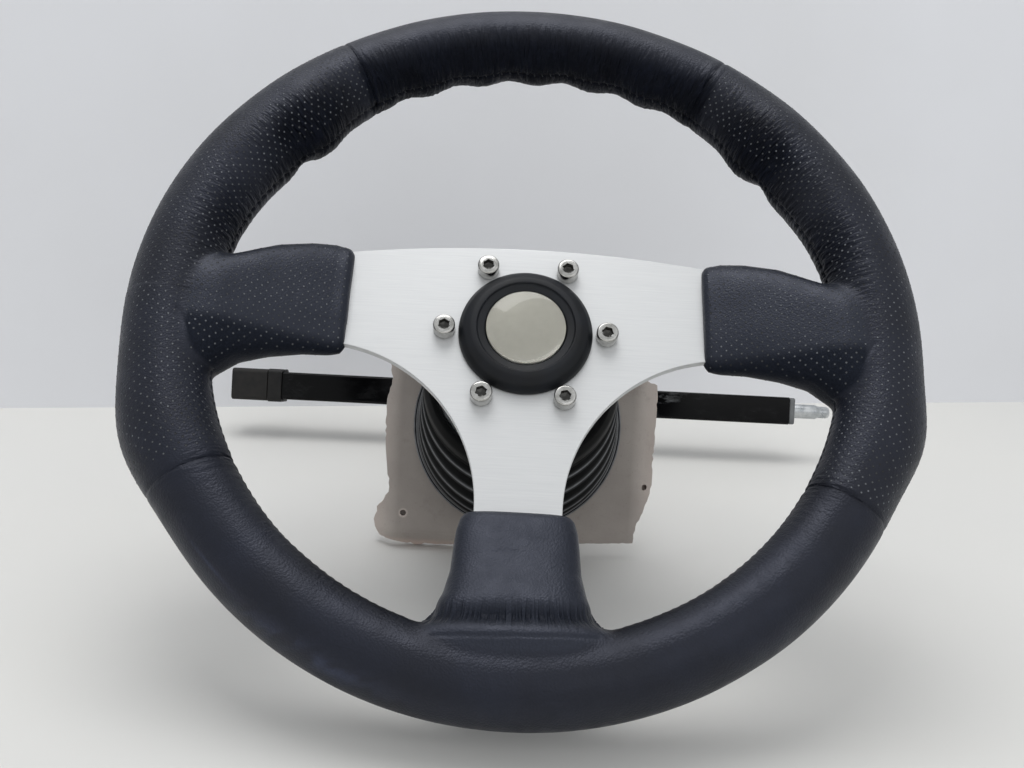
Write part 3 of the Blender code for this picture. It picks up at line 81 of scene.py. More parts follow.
# Leather rim
RIM_RADIUS = 0.1562
RIM_RISE = 0.0117
GRIP_RADIUS = 0.0173
THUMB_REST = 0.0042
# Palm swells, left and right: angle and width in degrees, and height
PALM_SWELL = ((202, 9, 0.0046), (343, 7, 0.0038))
# Fuller side grips, left and right: angle in degrees, and height
GRIP_SWELL = ((165, 0.0040), (15, 0.0017))
FINGER_WAVE = 0.0011
SEAM_ANGLES = (57.0, 124.0, 210.9, 329.1)
SEAM_OVERLAP = 0.8 * MM
# Steps of the rim, along it in degrees and round it, and of the skin made from it
GRIP_STEP = 0.5
GRIP_SIDES = 72
SKIN_VOXEL = 0.75 * MM
PERFORATION_PITCH = 2.1 * MM
# Span of the sleeve's holes across the spoke, and what the rim's keep clear of the stitches
SLEEVE_HOLES = (-0.042, 0.046)
STITCH_CLEAR = 0.32
STITCH_PITCH = 4.5 * MM

# Spider plate, its screws and the centre cap
PLATE = 0.004
SPOKE_REACH = 0.083
PLATE_TOP = 0.0445
PLATE_TOP_AT_SLEEVE = 0.0385
CUTOUT_RADIUS = 0.0752
CUTOUT_CENTRE = (0.094, -0.084)
SPOKE_BEND_START = 0.088
SPOKE_BEND_END = 0.140
SPOKE_TIP_HALF = 0.018
FOOT_TIP_HALF = 0.016
SPIDER_REACH = 0.149
SCREW_CIRCLE = 0.037
HUB_HOLE = 0.020
CAP_RADIUS = 0.03065
BADGE_RADIUS = 0.018

# Boot and head cover
BOOT_RADIUS = 0.0576
BOOT_WALL = 0.0010
PLEATS = 6
PLEAT_START = 0.0075
PLEAT_END = 0.052
PLEAT_RADIUS = 0.0555
PLEAT_TAPER = 0.0010
PLEAT_DEPTH = 0.0035
# Radius of the head cover, where the boot's collar grips it, and the distance of the cover's lip
# from the pivot
COVER_RADIUS = 0.043
COVER_LIP = 0.063

# Dash panel and rack tube
PANEL_THICK = 0.005
PANEL_HOLE = 0.0465
BOLT_CIRCLE = 0.052
PANEL_SCREWS = ((-0.0614, -0.0523), (0.0735, -0.0320))
TUBE_SIZE = 0.020
TUBE_HEIGHT = 0.0125
TUBE_AXIS = -0.180
TUBE_HALF = 0.201
CAP_START = -0.1803
FITTING_END = 0.2327
TUBE_SLICE = 12 * MM
# Dried splashes on the tube
SPLASH_PLACE = 0.095
SPLASH_WIDTH = 0.018

GAP = 0.0003
ON_AXIS = 1e-9


def facing_frame(rise, distance=0.0):
    """A frame whose Z points at the driver and whose Y climbs the piece's face."""
    up = Vector((0, math.sin(rise), math.cos(rise)))
    out = Vector((0, -math.cos(rise), math.sin(rise)))
    matrix = Matrix((Vector((1, 0, 0)), up, out)).transposed().to_4x4()
    matrix.translation = out * distance
    return matrix


HELM = facing_frame(PANEL_RISE)
WHEEL = facing_frame(WHEEL_RISE, HUB_DISTANCE)


# Colours and nodes

def linear(code):
    """The linear RGBA of an sRGB hex colour."""
    shares = [int(code[i:i + 2], 16) / 255 for i in (1, 3, 5)]
    return (*[s / 12.92 if s <= 0.04045 else ((s + 0.055) / 1.055) ** 2.4 for s in shares], 1.0)


def add(tree, kind, inputs=None, **settings):
    """Add a node with its settings; an input takes a value or another node's output."""
    made = tree.nodes.new(kind)
    for name, value in settings.items():
        setattr(made, name, value)
    for key, value in (inputs or {}).items():
        if isinstance(value, bpy.types.NodeSocket):
            tree.links.new(value, made.inputs[key])
        else:
            made.inputs[key].default_value = value
    return made


def material(name, **sockets):
    """A Principled material with these sockets set: itself, its tree, its shader and the
    object's own coordinates."""
    made = bpy.data.materials.new(name)
    made.use_nodes = True
    tree = made.node_tree
    shader = tree.nodes["Principled BSDF"]
    for key, value in sockets.items():
        shader.inputs[key.replace("_", " ")].default_value = value
    return made, tree, shader, add(tree, "ShaderNodeTexCoord").outputs["Object"]


def tone(tree, pattern, low, high, dark, light, least=0.0, most=1.0):
    """A colour that goes from dark to light as a pattern rises from low to high. The pattern is
    an output or a value stored on the mesh, and a colour is an sRGB code or an output."""
    if isinstance(pattern, str):
        pattern = add(tree, "ShaderNodeAttribute", attribute_name=pattern).outputs["Fac"]
    share = add(tree, "ShaderNodeMapRange", {0: pattern, 1: low, 2: high, 3: least, 4: most})
    ends = [linear(c) if isinstance(c, str) else c for c in (dark, light)]
    return add(tree, "ShaderNodeMix", {0: share.outputs[0], 6: ends[0], 7: ends[1]},
               data_type="RGBA").outputs[2]


def vary(tree, socket, pattern, low, high, least, most):
    """Set a shader's socket from least to most as a pattern rises from low to high."""
    level = add(tree, "ShaderNodeMapRange", {0: pattern, 1: low, 2: high, 3: least, 4: most})
    tree.links.new(level.outputs[0], socket)


def cloud(tree, place, size, detail=4.0, roughness=0.55, stretch=(1, 1, 1)):
    """Noise whose lumps are about size metres across."""
    scaled = add(tree, "ShaderNodeMapping",
                 {"Vector": place, "Scale": [s / size for s in stretch]}).outputs[0]
    return add(tree, "ShaderNodeTexNoise", {"Vector": scaled, "Scale": 1.0, "Detail": detail,
                                            "Roughness": roughness}).outputs[0]


def dent(tree, shader, height, depth, below=None):
    """Bump of a real depth in metres from a height of zero to one."""
    inputs = {"Height": height, "Strength": 1.0, "Distance": depth}
    if below:
        inputs["Normal"] = below
    normal = add(tree, "ShaderNodeBump", inputs).outputs[0]
    tree.links.new(normal, shader.inputs["Normal"])
    return normal


# Finishes

def wheel_leather():
    """Chrome-tanned steering wheel leather: black with a blue cast, satin, worn smooth where
    hands hold it. The eye sees fine pebble grain, creases across the rim and dusty scuffs.
    The crease valleys are painted near black as painted shade. The sheen is turned down in the
    creases, partly real and partly painted shade, and on the side sleeves' lower flanks as painted
    shade."""
    made, tree, shader, place = material("wheel_leather", Specular_Tint=linear("#e4e9ff"))
    lie = add(tree, "ShaderNodeAttribute", attribute_name="lie").outputs["Vector"]
    wrinkle = add(tree, "ShaderNodeAttribute", attribute_name="wrinkle").outputs["Fac"]
    dull = add(tree, "ShaderNodeAttribute", attribute_name="dull").outputs["Fac"]
    # The sheen is turned down where dull is high: in creases, partly real and partly painted shade,
    # and on the side sleeves' lower flanks, a painted shade.
    vary(tree, shader.inputs["Specular IOR Level"], dull, 0.1, 0.75, 0.45, 0.10)
    # Leather grain is about 0.3 mm; it is drawn at 0.9 mm so that it shows
    scaled = add(tree, "ShaderNodeMapping", {"Vector": place, "Scale": [1 / (0.9 * MM)] * 3})
    pebbles = add(tree, "ShaderNodeTexVoronoi", {"Vector": scaled.outputs[0], "Scale": 1.0},
                  feature="F1").outputs["Distance"]
    folds = cloud(tree, lie, 1.9 * MM, 1.0, 0.5, (1.0, 0.22, 1.0))
    crest = add(tree, "ShaderNodeMapRange", {0: folds, 1: 0.40, 2: 0.60}).outputs[0]
    creased = add(tree, "ShaderNodeMath", {0: crest, 1: wrinkle}, operation="MULTIPLY").outputs[0]
    # Crease valleys are painted near black as far as the creases are strong: painted shade in the
    # creases.
    valley = add(tree, "ShaderNodeMapRange", {0: crest, 3: 0.5, 4: 0.0}).outputs[0]
    crease_painted_shade = add(tree, "ShaderNodeMath", {0: valley, 1: wrinkle}, operation="MULTIPLY").outputs[0]
    body = tone(tree, cloud(tree, place, 28 * MM, 3.0), 0.35, 0.7, "#080a11", "#10141f")
    padded = tone(tree, "sleeve", 0.0, 1.0, body, "#1a1e27")
    worn = tone(tree, "scuff", 0.0, 1.0, padded, "#2b3144")
    pitted = tone(tree, pebbles, 0.15, 0.75, worn, "#050609", 0.0, 0.35)
    tree.links.new(tone(tree, crease_painted_shade, 0.0, 1.0, pitted, "#030406"), shader.inputs["Base Color"])
    vary(tree, shader.inputs["Roughness"], cloud(tree, place, 9 * MM), 0.3, 0.72, 0.36, 0.52)
    grain = dent(tree, shader, pebbles, -0.10 * MM)
    skin = dent(tree, shader, cloud(tree, place, 1.6 * MM, 3.0, 0.6), 0.05 * MM, grain)
    dent(tree, shader, creased, 0.7 * MM, skin)
    return made


def perforation_edge():
    """The punched holes of the leather: grey lining and dust in a dark ring, which the eye
    reads as rows of light dots."""
    made, tree, shader, place = material("perforated_leather", Roughness=0.6,
                                         Specular_IOR_Level=0.35)
    lining = tone(tree, cloud(tree, place, 16 * MM, 4.0, 0.7), 0.35, 0.65, "#1b1d20", "#72767d")
    tree.links.new(tone(tree, "pit", 0.0, 1.0, "#08090c", lining), shader.inputs["Base Color"])
    return made


def brushed_aluminium():
    """Aluminium plate, brushed along the wheel's width and clear anodised: very pale, with
    fine level lines and soft streaks."""
    made, tree, shader, place = material("brushed_aluminium", Metallic=0.8)
    # The brush leaves 0.05 mm lines; they are drawn 0.35 mm apart so that they show
    lines = cloud(tree, place, 0.35 * MM, 2.0, 0.6, (0.02, 1.0, 1.0))
    streaks = cloud(tree, place, 0.9 * MM, 3.0, 0.6, (0.012, 1.0, 1.0))
    grey = tone(tree, lines, 0.3, 0.7, "#cecfd0", "#d5d6d6")
    tree.links.new(tone(tree, streaks, 0.35, 0.75, grey, "#e0e1e1", 0.0, 0.25),
                   shader.inputs["Base Color"])
    vary(tree, shader.inputs["Roughness"], streaks, 0.3, 0.7, 0.56, 0.60)
    dent(tree, shader, lines, 0.012 * MM)
    return made


def streaked(name, size, detail, roughness, stretch, dark, light, **sockets):
    """A finish of one plain streaky pattern."""
    made, tree, shader, place = material(name, **sockets)
    streaks = cloud(tree, place, size, detail, roughness, stretch)
    tree.links.new(tone(tree, streaks, 0.0, 1.0, dark, light), shader.inputs["Base Color"])
    return made


def metal(name, dark, light, roughness, patch, depth=0.0):
    """A bare metal with cloudy tarnish of a patch size and its own surface texture."""
    made, tree, shader, place = material(name, Metallic=1.0)
    clouds = cloud(tree, place, patch, 5.0, 0.6)
    bare = tone(tree, clouds, 0.35, 0.7, dark, light)
    # Near black where the mesh marks it, which only the hex socket floors of the screws do.
    tree.links.new(tone(tree, "dark_patches", 0.0, 1.0, bare, "#12110f"), shader.inputs["Base Color"])
    vary(tree, shader.inputs["Roughness"], clouds, 0.3, 0.75, roughness * 0.8, roughness * 1.3)
    if depth:
        dent(tree, shader, cloud(tree, place, patch / 6), depth)
    return made


def plastic(name, dark, light, roughness, patch, grain, depth):
    """A moulded plastic or rubber: cloudy tone, spark-eroded mould texture and dull dust."""
    made, tree, shader, place = material(name, Specular_IOR_Level=0.3)
    clouds = cloud(tree, place, patch, 5.0, 0.6)
    tree.links.new(tone(tree, clouds, 0.35, 0.72, dark, light), shader.inputs["Base Color"])
    vary(tree, shader.inputs["Roughness"], clouds, 0.3, 0.7, roughness * 0.85, roughness * 1.15)
    dent(tree, shader, cloud(tree, place, grain, 3.0), depth)
    return made


def boot_rubber():
    """Moulded nitrile rubber: deep black in its folds, with grey along every crest that is partly
    dust and partly a painted highlight.
    """
    made, tree, shader, place = material("nitrile_rubber", Roughness=0.5,
                                         Specular_IOR_Level=0.12)
    crest = add(tree, "ShaderNodeAttribute", attribute_name="crest").outputs["Fac"]
    patches = add(tree, "ShaderNodeMapRange", {0: cloud(tree, place, 7 * MM), 1: 0.2, 2: 0.6,
                                               3: 0.45, 4: 1.0}).outputs[0]
    # Crests are painted grey: dust, and a painted highlight along each ridge.
    crest_dust_and_highlight = add(tree, "ShaderNodeMath", {0: crest, 1: patches}, operation="MULTIPLY").outputs[0]
    tree.links.new(tone(tree, crest_dust_and_highlight, 0.0, 1.0, "#040506", "#8f9194"), shader.inputs["Base Color"])
    dent(tree, shader, cloud(tree, place, 1.2 * MM, 3.0), 0.05 * MM)
    return made


def gelcoat():
    """Polyester gelcoat, sprayed and faded: warm grey, satin, with grime, fine speckle, a pale
    rubbed ring round each screw hole and a chalky lower edge."""
    made, tree, shader, place = material("faded_gelcoat")
    dark_patches = cloud(tree, place, 14 * MM, 6.0, 0.7)
    base = tone(tree, cloud(tree, place, 45 * MM, 4.0, 0.5), 0.35, 0.68, "#9a928c", "#aea69f")
    specks = cloud(tree, place, 1.1 * MM, 2.0, 0.7)
    dusty = tone(tree, specks, 0.62, 0.75, base, "#89817b", 0.0, 0.55)
    colour = tone(tree, dark_patches, 0.6, 0.8, dusty, "#7f7771", 0.0, 0.6)
    for x, y in PANEL_SCREWS:
        spot = add(tree, "ShaderNodeVectorMath", {0: place, 1: HELM @ Vector((x, y, 0))},
                   operation="DISTANCE").outputs["Value"]
        colour = tone(tree, spot, 2.2 * MM, 3.0 * MM, colour, "#c9beb6", 0.7, 0.0)
    tree.links.new(tone(tree, "worn", 0.0, 1.0, colour, "#c9b5ab"), shader.inputs["Base Color"])
    vary(tree, shader.inputs["Roughness"], dark_patches, 0.3, 0.7, 0.34, 0.55)
    dent(tree, shader, cloud(tree, place, 5 * MM), 0.12 * MM)
    return made


def broken_fibreglass():
    """Chopped strand glass in polyester, torn at the edge: pinkish white fibres, dull."""
    made, tree, shader, place = material("broken_fibreglass", Roughness=0.7)
    strands = cloud(tree, place, 1.4 * MM, 4.0, 0.7, (1.0, 1.0, 2.5))
    tree.links.new(tone(tree, strands, 0.35, 0.65, "#a08d84", "#e3d5cd"),
                   shader.inputs["Base Color"])
    dent(tree, shader, strands, 0.4 * MM)
    return made


def gloss_paint():
    """Black stoving enamel on square steel tube: mirror dark, with grey dried dirt."""
    made, tree, shader, place = material("black_enamel", Coat_Weight=0.06, Coat_Roughness=0.08,
                                         Specular_IOR_Level=0.12)
    smears = cloud(tree, place, 11 * MM, 6.0, 0.72, (0.35, 1.0, 1.0))
    streaks = add(tree, "ShaderNodeMapRange", {0: smears, 1: 0.50, 2: 0.62}).outputs[0]
    splashed = add(tree, "ShaderNodeAttribute", attribute_name="dirt").outputs["Fac"]
    dirt = add(tree, "ShaderNodeMath", {0: streaks, 1: splashed}, operation="MULTIPLY").outputs[0]
    tree.links.new(tone(tree, dirt, 0.0, 1.0, "#020203", "#8d8f91"), shader.inputs["Base Color"])
    vary(tree, shader.inputs["Roughness"], dirt, 0.0, 1.0, 0.16, 0.6)
    return made


def clear_dome():
    """Poured polyurethane dome: clear and glossy, with patches of faint haze."""
    made, tree, shader, place = material("clear_polyurethane", Base_Color=linear("#fbfaf6"),
                                         Transmission_Weight=1.0, IOR=1.48)
    vary(tree, shader.inputs["Roughness"], cloud(tree, place, 6 * MM, 3.0), 0.3, 0.7, 0.02, 0.08)
    return made


LEATHER = wheel_leather()
HOLES = perforation_edge()
# Bonded polyester thread, black and waxed: a row of small glints along the seam
THREAD = streaked("waxed_thread", 0.5 * MM, 1.0, 0.55, (1, 1, 1), "#101216", "#2a2d33",
                  Roughness=0.45)
BRUSHED = brushed_aluminium()
# The plate's cut edge: the same aluminium, milled, so it looks greyer and shinier
MILLED = streaked("milled_aluminium", 0.6 * MM, 2.0, 0.5, (1.0, 1.0, 0.1), "#8e9194", "#b9bcbf",
                  Metallic=1.0, Roughness=0.3)
# Polished A4 stainless steel: bright mirror with faint grime
STAINLESS = metal("polished_stainless", "#a9a8a4", "#d6d5d2", 0.16, 4 * MM)
# Turned mild steel, oiled: darker and warmer than the stainless
PLAIN_STEEL = metal("oiled_steel", "#76736f", "#a3a09b", 0.32, 6 * MM, 0.01 * MM)
# Sand-cast and tumbled aluminium alloy: matt light grey with a pebbled skin
CAST = metal("cast_aluminium", "#8d8f90", "#aeb0b1", 0.5, 12 * MM, 0.08 * MM)
# Sintered bronze: brown gold, dull
BRONZE = metal("sintered_bronze", "#7d5f38", "#a98552", 0.4, 3 * MM, 0.02 * MM)
# Zinc-plated steel of the fitting: bluish bright with dull bloom
ZINC = metal("zinc_plate", "#9fa3a6", "#cfd1d2", 0.3, 5 * MM, 0.01 * MM)
# Moulded EPDM of the centre cap: black with a blue bloom
CAP_RUBBER = plastic("cap_rubber", "#07090d", "#11151c", 0.48, 14 * MM, 1.0 * MM, 0.04 * MM)
# Glass-filled nylon of lever, knob and tube end: dark grey-brown where the sun bleached it
SUNNED_NYLON = plastic("sunned_nylon", "#191919", "#2b2927", 0.62, 7 * MM, 0.9 * MM, 0.05 * MM)
NYLON = plastic("black_nylon", "#101011", "#201f1e", 0.5, 9 * MM, 0.9 * MM, 0.05 * MM)
# ABS of the head cover and outlet plug: mid grey, satin
GREY_ABS = plastic("grey_abs", "#5c5e60", "#77797a", 0.42, 12 * MM, 0.8 * MM, 0.03 * MM)
BOOT_RUBBER = boot_rubber()
GELCOAT = gelcoat()
FIBREGLASS = broken_fibreglass()
ENAMEL = gloss_paint()
# Satin lacquered metal of the bare badge: warm grey with a soft turned sheen
BADGE = streaked("satin_badge", 3 * MM, 3.0, 0.5, (1, 1, 1), "#c2c1b9", "#cfcec7",
                 Metallic=0.3, Roughness=0.42)
DOME = clear_dome()


# Making pieces

def placed(name, data):
    """A new object in the scene."""
    made = bpy.data.objects.new(name, data)
    bpy.context.scene.collection.objects.link(made)
    return made


def finished(name, mesh, body, nodes, finishes, smooth=35):
    """A piece at the origin that rides on a body and stands for these nodes of the solids."""
    piece = placed(name, mesh)
    mesh.materials.clear()
    for finish in finishes:
        mesh.materials.append(finish)
    mesh.shade_smooth()
    mesh.set_sharp_from_angle(angle=math.radians(smooth))
    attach(piece, body)
    if nodes:
        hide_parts(*nodes)
    return piece


def true_faces(piece):
    """Shading whose wide faces stay flat beside their narrow bevels."""
    normals = piece.modifiers.new("normals", "WEIGHTED_NORMAL")
    normals.keep_sharp = True
    normals.weight = 100


def mesh_of(name, work, matrix=None, turn_out=True):
    """A mesh from a bmesh, put in its place; its faces are turned to point out, unless they
    already do."""
    if turn_out:
        bmesh.ops.recalc_face_normals(work, faces=work.faces)
    mesh = bpy.data.meshes.new(name)
    work.to_mesh(mesh)
    work.free()
    if matrix:
        mesh.transform(matrix)
    return mesh


def settled(piece):
    """The plain mesh that a helper object comes to with its modifiers; the object goes."""
    bpy.context.view_layer.update()
    depsgraph = bpy.context.evaluated_depsgraph_get()
    mesh = bpy.data.meshes.new_from_object(piece.evaluated_get(depsgraph))
    bpy.data.objects.remove(piece, do_unlink=True)
    return mesh


def join_rings(work, rings, round_again=False):
    """Faces between rings of vertices; a ring of one vertex is a pole."""
    pairs = list(zip(rings, rings[1:])) + ([(rings[-1], rings[0])] if round_again else [])
    for near, far in pairs:
        count = max(len(near), len(far))
        for i in range(count):
            j = (i + 1) % count
            corners = (near[i % len(near)], near[j % len(near)], far[j % len(far)],
                       far[i % len(far)])
            work.faces.new(list(dict.fromkeys(corners)))


def lattice_mesh(work, rings):
    """Skin rings of points, with both ends closed."""
    loops = [[work.verts.new(point) for point in ring] for ring in rings]
    join_rings(work, loops)
    work.faces.new(loops[0])
    work.faces.new(loops[-1])


def cut_across(work, place, direction):
    """Cut every face along a plane, so that the piece can bend there."""
    everything = work.verts[:] + work.edges[:] + work.faces[:]
    bmesh.ops.bisect_plane(work, geom=everything, plane_co=place, plane_no=direction)


def soften(points, radius, steps=3, closed=True):
    """An outline with each corner rounded by up to a radius."""
    made = []
    count = len(points)
    for i, point in enumerate(points):
        if not closed and i in (0, count - 1):
            made.append(tuple(point))
            continue
        here = Vector(point)
        before = Vector(points[i - 1]) - here
        after = Vector(points[(i + 1) % count]) - here
        reach = min(radius, before.length * 0.45, after.length * 0.45)
        near = here + before.normalized() * reach
        far = here + after.normalized() * reach
        for step in range(steps + 1):
            t = step / steps
            made.append(tuple(near * (1 - t) ** 2 + here * 2 * t * (1 - t) + far * t ** 2))
    return made


def turned_rings(work, profile, steps):
    """Rings of vertices from a profile of (radius, height) turned about the Z axis."""
    return [[work.verts.new((x, y, height))
             for x, y in (circle(radius, steps) if radius > ON_AXIS else [(0.0, 0.0)])]
            for radius, height in profile]


def turned_mesh(name, profile, matrix, steps=96):
    """A closed shape from a turned profile. A profile that touches the axis starts and ends
    on it; any other closes on itself."""
    work = bmesh.new()
    open_inside = profile[0][0] > ON_AXIS or profile[-1][0] > ON_AXIS
    join_rings(work, turned_rings(work, profile, steps), open_inside)
    return mesh_of(name, work, matrix)


def flat_mesh(name, outlines, low, high, edge=0.0):
    """A plate between two heights with rounded edges, from its outline and its holes."""
    curve = bpy.data.curves.new(name, "CURVE")
    curve.dimensions = "2D"
    curve.fill_mode = "BOTH"
    curve.extrude = (high - low) / 2 - edge
    curve.bevel_depth = edge
    curve.bevel_resolution = 2
    curve.offset = -edge
    for outline in outlines:
        spline = curve.splines.new("POLY")
        spline.points.add(len(outline) - 1)
        for point, (x, y) in zip(spline.points, outline):
            point.co = (x, y, 0, 1)
        spline.use_cyclic_u = True
    mesh = settled(placed(name, curve))
    work = bmesh.new()
    work.from_mesh(mesh)
    bpy.data.meshes.remove(mesh)
    bmesh.ops.remove_doubles(work, verts=work.verts, dist=0.002 * MM)
    bmesh.ops.translate(work, vec=(0, 0, (low + high) / 2), verts=work.verts)
    return work


def circle(radius, steps, centre=(0.0, 0.0), start=0.0):
    """Points round a circle."""
    turns = [start + 2 * math.pi * i / steps for i in range(steps)]
    return [(centre[0] + radius * math.cos(t), centre[1] + radius * math.sin(t)) for t in turns]


def arc(radius, start, end, steps, centre=(0.0, 0.0)):
    """Points along an arc, both ends among them."""
    turns = [start + (end - start) * i / steps for i in range(steps + 1)]
    return [(centre[0] + radius * math.cos(t), centre[1] + radius * math.sin(t)) for t in turns]


def copies_tree():
    """Geometry Nodes that put one copied shape on every point of a mesh, turned by the
    directions which the points carry."""
    tree = bpy.data.node_groups.new("copies_on_points", "GeometryNodeTree")
    sockets = tree.interface
    for label, kind in (("Points", "NodeSocketGeometry"), ("Shape", "NodeSocketObject"),
                        ("Finish", "NodeSocketMaterial"), ("Smallest", "NodeSocketFloat"),
                        ("Largest", "NodeSocketFloat")):
        sockets.new_socket(label, in_out="INPUT", socket_type=kind)
    sockets.new_socket("Pieces", in_out="OUTPUT", socket_type="NodeSocketGeometry")
    given = add(tree, "NodeGroupInput")
    shape = add(tree, "GeometryNodeObjectInfo", {"Object": given.outputs["Shape"]})
    facing, along = (add(tree, "GeometryNodeInputNamedAttribute", {"Name": name},
                         data_type="FLOAT_VECTOR").outputs[0] for name in ("facing", "along"))
    turn = add(tree, "FunctionNodeAxesToRotation",
               {"Primary Axis": facing, "Secondary Axis": along},
               primary_axis="Z", secondary_axis="X").outputs[0]
    size = add(tree, "FunctionNodeRandomValue", {"Seed": 7})
    tree.links.new(given.outputs["Smallest"], size.inputs[2])
    tree.links.new(given.outputs["Largest"], size.inputs[3])
    copies = add(tree, "GeometryNodeInstanceOnPoints",
                 {"Points": given.outputs["Points"], "Instance": shape.outputs["Geometry"],
                  "Rotation": turn, "Scale": size.outputs[1]}).outputs[0]
    real = add(tree, "GeometryNodeRealizeInstances", {"Geometry": copies}).outputs[0]
    painted = add(tree, "GeometryNodeSetMaterial",
                  {"Geometry": real, "Material": given.outputs["Finish"]}).outputs[0]
    add(tree, "NodeGroupOutput", {"Pieces": painted})
    return tree


COPIES = copies_tree()


def copies(name, spots, shape, finish, smallest=1.0, largest=1.0):
    """A plain mesh of one shape copied to spots of (place, facing, along)."""
    mesh = bpy.data.meshes.new(name)
    mesh.from_pydata([spot[0] for spot in spots], [], [])
    for label, column in (("facing", 1), ("along", 2)):
        values = mesh.attributes.new(label, "FLOAT_VECTOR", "POINT")
        values.data.foreach_set("vector", [c for spot in spots for c in spot[column]])
    points, model = placed(name, mesh), placed(name + "_shape", shape)
    modifier = points.modifiers.new("copies", "NODES")
    modifier.node_group = COPIES
    values = {"Shape": model, "Finish": finish, "Smallest": smallest, "Largest": largest}
    for item in COPIES.interface.items_tree:
        if item.in_out == "INPUT" and item.name in values:
            modifier[item.identifier] = values[item.name]
    made = settled(points)
    bpy.data.objects.remove(model, do_unlink=True)
    for label in ("facing", "along"):
        if label in made.attributes:
            made.attributes.remove(made.attributes[label])
    return made


# Leather grips

def bump(angle, centre, width):
    """A smooth bump of height one round an angle, in degrees."""
    offset = (angle - centre + 180) % 360 - 180
    return np.exp(-(offset / width) ** 2)


def grip_thickness(angle, around):
    """Radius of the grip at an angle round the rim and an angle round the tube."""
    outward = (1 + np.cos(around)) / 2
    inward = (1 - np.cos(around)) / 2
    radius = GRIP_RADIUS + outward * sum(swell * bump(angle, middle, 40)
                                         for middle, swell in GRIP_SWELL)
    radius = radius + THUMB_REST * inward ** 2 * (bump(angle, 38, 12) + bump(angle, 140, 12))
    radius = radius + outward ** 2 * sum(swell * bump(angle, middle, width)
                                         for middle, width, swell in PALM_SWELL)
    top = (angle % 360 > 60) & (angle % 360 < 120)
    behind = np.maximum(0.0, np.cos(around - math.radians(225)))
    return radius + top * FINGER_WAVE * behind * np.cos(np.radians((angle - 90) * 33))


def grip_points(angle, around):
    """Points of the rim's surface in the wheel's frame."""
    radius = grip_thickness(angle, around)
    swing = np.radians(angle)
    out = RIM_RADIUS + radius * np.cos(around)
    return np.stack([out * np.cos(swing), out * np.sin(swing),
                     RIM_RISE + radius * np.sin(around)], axis=-1)


# Sleeve sections: distance from the hub, low edge, high edge, half thickness
SIDE_SLEEVE = ((0.0815, -0.0100, 0.0370, 0.0040), (0.0835, -0.0134, 0.0400, 0.0062),
               (0.0900, -0.0147, 0.0412, 0.0072), (0.1000, -0.0158, 0.0398, 0.0085),
               (0.1150, -0.0195, 0.0352, 0.0105), (0.1270, -0.0240, 0.0287, 0.0128),
               (0.1340, -0.0305, 0.0250, 0.0145), (0.1420, -0.0370, 0.0230, 0.0150),
               (0.1520, -0.0360, 0.0220, 0.0140))
FOOT_SLEEVE = ((0.0850, -0.0215, 0.0215, 0.0040), (0.0870, -0.0240, 0.0240, 0.0062),
               (0.0930, -0.0256, 0.0256, 0.0072), (0.1000, -0.0262, 0.0262, 0.0080),
               (0.1120, -0.0268, 0.0268, 0.0098), (0.1220, -0.0290, 0.0290, 0.0120),
               (0.1300, -0.0340, 0.0340, 0.0140), (0.1370, -0.0420, 0.0420, 0.0150),
               (0.1480, -0.0460, 0.0460, 0.0140))
SLEEVE_STEP = 0.0012
SLEEVE_SIDES = 96


def spoke_rise(distance):
    """Height that a spoke has gained at a distance from the hub."""
    share = (distance - SPOKE_BEND_START) / (SPOKE_BEND_END - SPOKE_BEND_START)
    return (RIM_RISE + PLATE / 2) * np.clip(share, 0.0, 1.0)


def sleeve_rings(kind):
    """Fine rings of one sleeve, with smooth lines through its sections."""
    sections = np.array(FOOT_SLEEVE if kind == "foot" else SIDE_SLEEVE)
    count = int((sections[-1, 0] - sections[0, 0]) / SLEEVE_STEP)
    distances = np.linspace(sections[0, 0], sections[-1, 0], count)
    low, high, half = (np.interp(distances, sections[:, 0], sections[:, i]) for i in (1, 2, 3))
    turn = 2 * math.pi * (np.arange(SLEEVE_SIDES) + 0.5) / SLEEVE_SIDES
    wide = np.copysign(np.abs(np.cos(turn)) ** 0.55, np.cos(turn))
    deep = np.copysign(np.abs(np.sin(turn)) ** 0.8, np.sin(turn))
    rings = []
    for distance, bottom, top, thick in zip(distances, low, high, half):
        across = (bottom + top) / 2 + wide * (top - bottom) / 2
        height = spoke_rise(distance) - PLATE / 2 + deep * (thick + PLATE / 4)
        away = np.full_like(across, distance)
        columns = {"foot": (across, -away, height), "right": (away, across, height),
                   "left": (-away, across, height)}[kind]
        rings.append(np.stack(columns, axis=-1))
    return rings


def smoothed(points, edges, weights, rounds):
    """Points drawn towards the middle of their neighbours, as far as their weights say."""
    count = len(points)
    ends = np.concatenate([edges[:, 0], edges[:, 1]])
    others = np.concatenate([edges[:, 1], edges[:, 0]])
    share = weights[:, None] * 0.6
    degree = np.bincount(ends, minlength=count)[:, None]
    for _ in range(rounds):
        middle = np.stack([np.bincount(ends, points[others, i], count) for i in range(3)], axis=-1)
        points = points + share * (middle / degree - points)
    return points


LATTICE = np.random.default_rng(11).random((256, 256))


def waves(along, across):
    """Smooth random heights of zero to one over a plane; lumps are one unit wide."""
    column, row = np.floor(along).astype(int), np.floor(across).astype(int)
    u, v = along - column, across - row
    u, v = u * u * (3 - 2 * u), v * v * (3 - 2 * v)
    a = LATTICE[column % 256, row % 256] * (1 - u) + LATTICE[(column + 1) % 256, row % 256] * u
    b = (LATTICE[column % 256, (row + 1) % 256] * (1 - u)
         + LATTICE[(column + 1) % 256, (row + 1) % 256] * u)
    return a * (1 - v) + b * v


def ramp(value, low, high):
    """Zero below low, one above high, and a smooth rise between them."""
    share = np.clip((value - low) / (high - low), 0.0, 1.0)
    return share * share * (3 - 2 * share)


